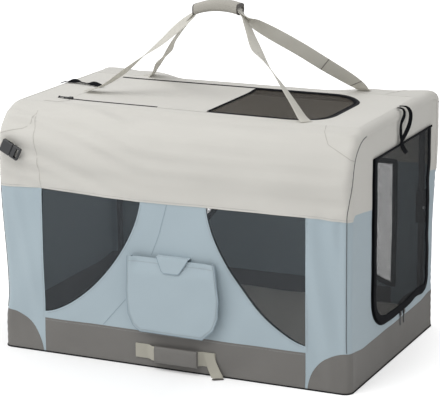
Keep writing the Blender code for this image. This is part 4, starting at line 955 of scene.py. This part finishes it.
def drawn(stations, step=0.006):
    """A smooth path through stations of (point, width direction)."""
    stations = [(Vector(point) + SHIFT, Vector(across).normalized()) for point, across in stations]
    padded = [stations[0]] + stations + [stations[-1]]
    path = []
    for a, b, c, d in zip(padded, padded[1:], padded[2:], padded[3:]):
        count = max(2, round((c[0] - b[0]).length / step))
        for index in range(count):
            t = index / count
            spot, across = (0.5 * (2 * b[k] + (c[k] - a[k]) * t
                                   + (2 * a[k] - 5 * b[k] + 4 * c[k] - d[k]) * t * t
                                   + (3 * b[k] - a[k] - 3 * c[k] + d[k]) * t ** 3) for k in (0, 1))
            path.append((spot, across.normalized()))
    return path + [stations[-1]]


def strap(name, stations, width, thick, finish, body="base", round_share=0.25, sides=14):
    """Webbing or ribbon along given stations. A low round_share squares its edges off."""
    return tape(name, drawn(stations), width, thick, finish, body, round_share=round_share, sides=sides)


STRAPS = {
    "front": [
        ((-0.352, -0.037, 0.6125), (0, 1, 0)), ((-0.318, -0.034, 0.6205), (-0.1, 1, -0.1)),
        ((-0.285, -0.028, 0.6395), (-0.05, 0.98, -0.19)), ((-0.250, -0.022, 0.6654), (-0.03, 0.98, -0.21)),
        ((-0.207, -0.012, 0.7017), (-0.18, 0.98, 0.01)), ((-0.158, -0.006, 0.7397), (-0.36, 0.87, 0.34)),
        ((-0.108, -0.003, 0.7822), (-0.45, 0.74, 0.50)), ((-0.066, -0.001, 0.8150), (-0.30, 0.88, 0.30)),
        ((-0.045, 0, 0.8315), (0, 1, 0)), ((0.0, 0, 0.8395), (0, 1, 0)), ((0.045, 0, 0.8360), (0, 1, 0)),
        ((0.065, -0.002, 0.8170), (-0.06, 0.96, -0.28)), ((0.075, -0.006, 0.8020), (0.09, 0.94, -0.32)),
        ((0.091, -0.018, 0.7785), (0.29, 0.88, -0.37)), ((0.119, -0.045, 0.7458), (0.49, 0.83, -0.27)),
        ((0.147, -0.068, 0.7262), (0.30, 0.74, -0.55)), ((0.173, -0.090, 0.7125), (0.15, 0.67, -0.73)),
        ((0.208, -0.115, 0.6883), (0.18, 0.80, -0.56)), ((0.237, -0.135, 0.6648), (0.25, 0.85, -0.45)),
        ((0.266, -0.155, 0.6403), (0.22, 0.93, -0.30)), ((0.288, -0.169, 0.6200), (0.25, 0.95, -0.15)),
        ((0.304, -0.179, 0.6115), (0.25, 0.95, 0))],
    "back": [
        ((-0.300, 0.206, 0.6125), (0.5, 0.8, 0)), ((-0.287, 0.198, 0.6160), (0.3, 0.8, 0.4)),
        ((-0.264, 0.178, 0.6356), (0.29, 0.81, 0.51)), ((-0.237, 0.150, 0.6644), (0.42, 0.81, 0.41)),
        ((-0.203, 0.120, 0.6883), (0.42, 0.80, 0.43)), ((-0.180, 0.094, 0.7135), (0.35, 0.78, 0.52)),
        ((-0.144, 0.055, 0.7457), (0.35, 0.80, 0.48)), ((-0.108, 0.024, 0.7770), (0.25, 0.88, 0.40)),
        ((-0.067, 0.002, 0.8165), (0.1, 0.95, 0.2)), ((-0.045, 0, 0.8345), (0, 1, 0)),
        ((0.0, 0, 0.8425), (0, 1, 0)), ((0.045, 0, 0.8390), (0, 1, 0)),
        ((0.066, 0.002, 0.8190), (-0.4, 0.85, -0.1)), ((0.087, 0.022, 0.7965), (-0.72, 0.30, -0.58)),
        ((0.125, 0.052, 0.7672), (-0.62, 0.02, -0.78)), ((0.174, 0.092, 0.7293), (-0.60, -0.02, -0.80)),
        ((0.223, 0.132, 0.6880), (-0.62, 0.00, -0.78)), ((0.265, 0.170, 0.6520), (-0.70, 0.12, -0.66)),
        ((0.287, 0.196, 0.6290), (-0.9, 0.1, -0.3)), ((0.291, 0.212, 0.6160), (-1, 0, 0)),
        ((0.292, 0.226, 0.6115), (-1, 0, 0))],
}
STRAP_WIDTH = 0.036
for name, stations in STRAPS.items():
    piece = strap(f"carry_webbing_{name}", stations, STRAP_WIDTH, 0.0020, webbing, "roof")
    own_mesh(piece)
    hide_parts(f"carry_strap_{name}")
for x in (0.222, 0.283):
    spot, across = min(drawn(STRAPS["back"]), key=lambda station: abs(station[0].x - SHIFT.x - x))
    bar = [(spot + across * reach, Vector((1, 0.8, -0.8))) for reach in (-0.0176, 0.0, 0.0176)]
    bar = tape(f"carry_bar_tack_{round(1000 * x)}", bar, 0.0020, 0.0034, bar_thread, "roof", sides=8)
    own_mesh(bar)

wrap_cloth = woven("grip cloth", "9B9890", "ABA8A0", sheen=0.2)
# Dark cloth for the grip's bindings and the tail's tip, which also paints the shadow lines along the
# handle's pad.
dark_binding_and_shadow = woven("dark binding and painted gap shadow", "4A4743", "57534E", pitch=0.001)
GRIP_Z, ARCH, GRIP_OFF, WRAP_SIDES = 0.841, 0.010, 0.003, 32


def wrap(name, half, wide, high, wall, finish, start=-1.0, end=1.0, bulge=0.0):
    """A padded sleeve along an arch, hollow where the straps go through, from start to end as shares of
    half its length. wall is how thick it is beside the straps, and above and below them."""
    solid = bmesh.new()
    steps = max(3, round(20 * (end - start) / 2))
    outer, inner, marks = [], [], {}
    for step in range(steps + 1):
        share = start + (end - start) * step / steps
        x = share * half
        middle = Vector((x - GRIP_OFF, 0, GRIP_Z - ARCH * share * share + 0.003 * share)) + SHIFT
        fat = 1 + bulge * (1 - share * share)
        for rings, reach_y, reach_z, power in ((outer, wide / 2, high / 2, 0.6),
                                               (inner, wide / 2 - wall[0], high / 2 - wall[1], 0.4)):
            ring = []
            for corner in range(WRAP_SIDES):
                angle = 2 * math.pi * corner / WRAP_SIDES
                across, rise = math.cos(angle), math.sin(angle)
                y, z = squared(across, power) * reach_y, squared(rise, power) * reach_z
                scale = fat + 0.02 * hum(40 * x, 2 * across, 2 * rise) if rings is outer else 1.0
                vert = solid.verts.new(middle + Vector((0, y, z)) * scale)
                marks[vert] = (angle * wide / 2, x)
                ring.append(vert)
            rings.append(ring)
    bridge(solid, outer + inner[::-1], closed=True)
    return show(name, solid, finish, "carry_grip", marks, smooth=70)


grip = wrap("carry_grip_wrap", 0.060, 0.0410, 0.0270, (0.0016, 0.0085), wrap_cloth, bulge=0.04)
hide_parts("carry_grip")
for start, end, hand in ((-1.0, -0.955, "left"), (0.955, 1.0, "right")):
    wrap(f"carry_grip_binding_{hand}", 0.0602, 0.0420, 0.0280, (0.0021, 0.0090), dark_binding_and_shadow, start, end)


# Base handle
# The same webbing, sewn to the band at two patches, with a flat padded grip of grey cloth between
# them. Its loose end hangs beside the right patch and curls forward on the floor.
HANDLE_X, HANDLE_Z = 0.011, 0.040
wall_y, far_y = -HALF_Y - 0.0017, -HALF_Y - 0.0127
half_y = (wall_y + far_y) / 2
ROUTE = ((-0.106, wall_y), (-0.085, wall_y), (-0.072, wall_y), (-0.062, half_y), (-0.052, far_y),
         (0.0, far_y - 0.001), (0.052, far_y), (0.062, half_y), (0.072, wall_y), (0.085, wall_y),
         (0.106, wall_y))
route = [((HANDLE_X + x, y, HANDLE_Z), (0, 0, 1)) for x, y in ROUTE]
handle = strap("base_handle_strap", route, STRAP_WIDTH, 0.0022, handle_webbing)
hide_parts("base_handle_webbing")
tail = [((0.101, -HALF_Y - 0.0040, 0.0575), (1, 0, 0.05)), ((0.103, -HALF_Y - 0.0038, 0.044), (1, 0, 0.15)),
        ((0.110, -HALF_Y - 0.0045, 0.026), (1, 0, 0.35)), ((0.119, -HALF_Y - 0.0080, 0.011), (1, 0, 0.35)),
        ((0.126, -HALF_Y - 0.0140, 0.0035), (1, -0.2, 0.1)),
        ((0.131, -HALF_Y - 0.0200, 0.0024), (1, -0.3, 0))]
strap("base_handle_tail", tail, 0.028, 0.0020, handle_webbing)
tip = [tail[-1], ((0.134, -HALF_Y - 0.0240, 0.0026), (1, -0.3, 0))]
strap("tail_tip", tip, 0.0284, 0.0030, dark_binding_and_shadow, round_share=0.3, sides=10)


def pad_block(name, low, high, finish, body, puff=0.0016):
    """A flat stuffed grip: a soft-cornered block, fuller in the middle than along its seam."""
    solid = bmesh.new()
    bmesh.ops.create_cube(solid, size=2)
    bmesh.ops.subdivide_edges(solid, edges=solid.edges, cuts=9, use_grid_fill=True)
    middle, reach = (low + high) / 2 + SHIFT, (high - low) / 2
    marks = {}
    for vert in solid.verts:
        x, y, z = vert.co
        crease = puff * (hum(6 * x, 3 * z, 5) - 0.6) * (1 - z ** 4)
        soft_y = y * (1 - 0.25 * z ** 6 - 0.15 * x ** 8) * reach.y + math.copysign(crease, y) * abs(y)
        soft_z = z * (1 - 0.03 * y * y) * reach.z
        marks[vert] = (x * reach.x, z * reach.z)
        vert.co = middle + Vector((x * reach.x, soft_y, soft_z))
    return show(name, solid, finish, body, marks, smooth=70)


PAD_SHADOW_Y = -0.3035
pad_low, pad_high = Vector((-0.038, -0.3084, 0.0185)), Vector((0.074, -0.2976, 0.0600))
pad = pad_block("base_handle_pad", pad_low, pad_high, grey_cloth, "base")
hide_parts("base_handle_grip")
# Dark cords along the pad's top and bottom edges: painted shadow of the gaps between the pad and the band.
for z, hand in ((pad_low.z, "lower"), (pad_high.z, "upper")):
    rope = [((x, PAD_SHADOW_Y, z), (0, 0, 1)) for x in (pad_low.x + 0.004, 0.018, pad_high.x - 0.004)]
    tape(f"base_handle_gap_shadow_{hand}", drawn(rope), 0.0022, 0.0022, dark_binding_and_shadow, "base", sides=8)


# Buckle
# A side-release buckle of moulded nylon on a short loop of webbing, at the left of the front wall. It
# holds the folded crate shut. The two mouldings keep the frame's own shape.
def moulding(name, body):
    """The frame's own moulding as a mesh of its own, its edges softened."""
    solid = bmesh.new()
    source = frame["nodes"][name]
    solid.from_mesh(source.data)
    solid.transform(source.matrix_world)
    piece = show(f"{name}_moulding", solid, black_nylon, body, smooth=35)
    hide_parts(name)
    folds_flat(piece)


moulding("buckle_socket", "base")
moulding("buckle_plug", "buckle_plug")
slope = math.radians(27)
lean = Vector((math.cos(slope), 0, -math.sin(slope)))
middle = Vector((-0.4365, -HALF_Y - 0.0014, 0.5149))
across = lean.cross(Vector((0, 1, 0)))
stations = [(middle + lean * along, across) for along in (-0.0165, -0.006, 0.006, 0.0165)]
loop = strap("buckle_webbing_loop", stations, 0.025, 0.0020, webbing)
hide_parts("buckle_webbing")
folds_flat(loop)


# Cloth ties
# Short black ribbons that hold a rolled door: one lies on the roof's left end, and one hangs in a loop
# above the end door.
ROOF_TIE = [
    ((-0.343, 0.024, 0.6120), (0.2, 1, 0)), ((-0.372, 0.033, 0.6150), (0.1, 0.9, 0.4)),
    ((-0.400, 0.036, 0.6135), (0, 0.9, -0.4)), ((-0.428, 0.036, 0.6170), (0.1, 0.9, 0.5)),
    ((-0.450, 0.034, 0.6140), (0, 1, -0.2)), ((-0.466, 0.034, 0.6090), (0, 1, 0))]
LONG_TIE = [
    ((0.441, 0.070, 0.6125), (0.3, 1, 0)), ((0.458, 0.071, 0.6115), (0.2, 1, 0)),
    ((0.4665, 0.074, 0.600), (0.5, 0.8, 0.2)), ((0.468, 0.073, 0.584), (0.6, 0.7, 0)),
    ((0.468, 0.062, 0.568), (0.5, 0.8, 0)), ((0.467, 0.038, 0.551), (0.4, 0.9, 0)),
    ((0.465, 0.020, 0.538), (0.4, 0.9, 0)), ((0.464, 0.032, 0.521), (0.5, 0.8, 0.2)),
    ((0.464, 0.058, 0.502), (0.5, 0.8, 0.3))]
SHORT_TIE = [
    ((0.443, 0.048, 0.6125), (0.3, 1, 0)), ((0.459, 0.046, 0.6105), (0.2, 1, 0)),
    ((0.464, 0.040, 0.598), (0.3, 0.9, 0)), ((0.463, 0.021, 0.580), (0.3, 0.9, 0)),
    ((0.461, 0.025, 0.556), (0.4, 0.9, 0)), ((0.461, 0.033, 0.530), (0.2, 0.9, 0.2))]
roof_tie = strap("roof_tie_ribbon", ROOF_TIE, 0.016, 0.0014, black_tape, "roof", round_share=0.3, sides=10)
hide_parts("roof_tie")
end_tie = strap("end_tie_long", LONG_TIE, 0.0105, 0.0012, black_tape, "roof", round_share=0.3, sides=10)
strap("end_tie_short", SHORT_TIE, 0.0095, 0.0012, black_tape, "roof", round_share=0.3, sides=10)
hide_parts("end_tie")


# Floor, light and camera
# A pale sweep that keeps the crate's shadow, even light from a bright room with a soft lamp above and
# in front, and the photograph's long lens.
def is_seen(tree):
    """1 where a ray comes from the camera, a gloss or a clear body, and 0 for light on the object."""
    path = knot(tree, "LightPath")
    some = knot(tree, "Math", {"operation": "MAXIMUM"}, n0=path["Is Camera Ray"],
                n1=path["Is Glossy Ray"])[0]
    return knot(tree, "Math", {"operation": "MAXIMUM"}, n0=some, n1=path["Is Transmission Ray"])[0]


sweep_paint, tree, shader, place = blank("pale studio floor", "Object")
tree.nodes.remove(shader)
diffuse = knot(tree, "BsdfDiffuse", Color=linear("F1F1F1"))[0]
# Seen by the camera the floor glows, weakly by the crate's front left and more strongly a metre away:
# painted light that whitens the floor and fades the crate's shadow towards the right.
away = knot(tree, "VectorMath", {"operation": "DISTANCE"}, n0=place, n1=(-0.35, -0.45, 0))[1]
rise = knot(tree, "MapRange", Value=away, From_Min=0.40, From_Max=1.30, To_Min=0.07, To_Max=0.62)[0]
share = knot(tree, "Math", {"operation": "MULTIPLY"}, n0=is_seen(tree), n1=rise)[0]
glowing = knot(tree, "Emission", Strength=share)[0]
both = knot(tree, "AddShader", n0=diffuse, n1=glowing)[0]
tree.links.new(both, tree.nodes["Material Output"].inputs["Surface"])
reach = 14.0
corners = [(-reach, -reach, 0), (reach, -reach, 0), (reach, reach, 0), (-reach, reach, 0)]
floor_mesh = bpy.data.meshes.new("studio_floor")
floor_mesh.from_pydata(corners, [], [(0, 1, 2, 3)])
floor_mesh.materials.append(sweep_paint)
floor = bpy.data.objects.new("studio_floor", floor_mesh)
bpy.context.collection.objects.link(floor)

room = bpy.data.worlds.new("bright room")
room.use_nodes = True
tree = room.node_tree
strength = knot(tree, "MapRange", Value=is_seen(tree), To_Min=0.74, To_Max=1.0)[0]
feed(tree, tree.nodes["Background"], Color=linear("FFFFFF"), Strength=strength)
bpy.context.scene.world = room
light = bpy.data.lights.new("overhead", "AREA")
light.shape = "SQUARE"
light.size = 4.0
light.energy = 108
lamp = bpy.data.objects.new("overhead", light)
where, aim = Vector((-1.3, -1.9, 3.4)), Vector((0, 0, 0.3))
lamp.location = where
lamp.rotation_euler = (aim - where).to_track_quat("-Z", "Y").to_euler()
bpy.context.collection.objects.link(lamp)

YAW, PITCH, TILT = -0.43810, -0.25207, -0.01034
CAMERA_AT = Vector((2.00593, -4.28917, 1.56866))
forward = Vector((math.sin(YAW) * math.cos(PITCH), math.cos(YAW) * math.cos(PITCH), math.sin(PITCH)))
level = Vector((math.cos(YAW), -math.sin(YAW), 0))
above = level.cross(forward)
right = level * math.cos(TILT) + above * math.sin(TILT)
up = above * math.cos(TILT) - level * math.sin(TILT)
lens = bpy.data.cameras.new("camera")
lens.sensor_width = 36.0
lens.lens = 160.9
camera = bpy.data.objects.new("camera", lens)
turn = Matrix((right, up, -forward)).transposed().to_4x4()
camera.matrix_world = Matrix.Translation(CAMERA_AT + SHIFT) @ turn
bpy.context.collection.objects.link(camera)
bpy.context.scene.camera = camera
bpy.context.scene.view_settings.view_transform = "Standard"
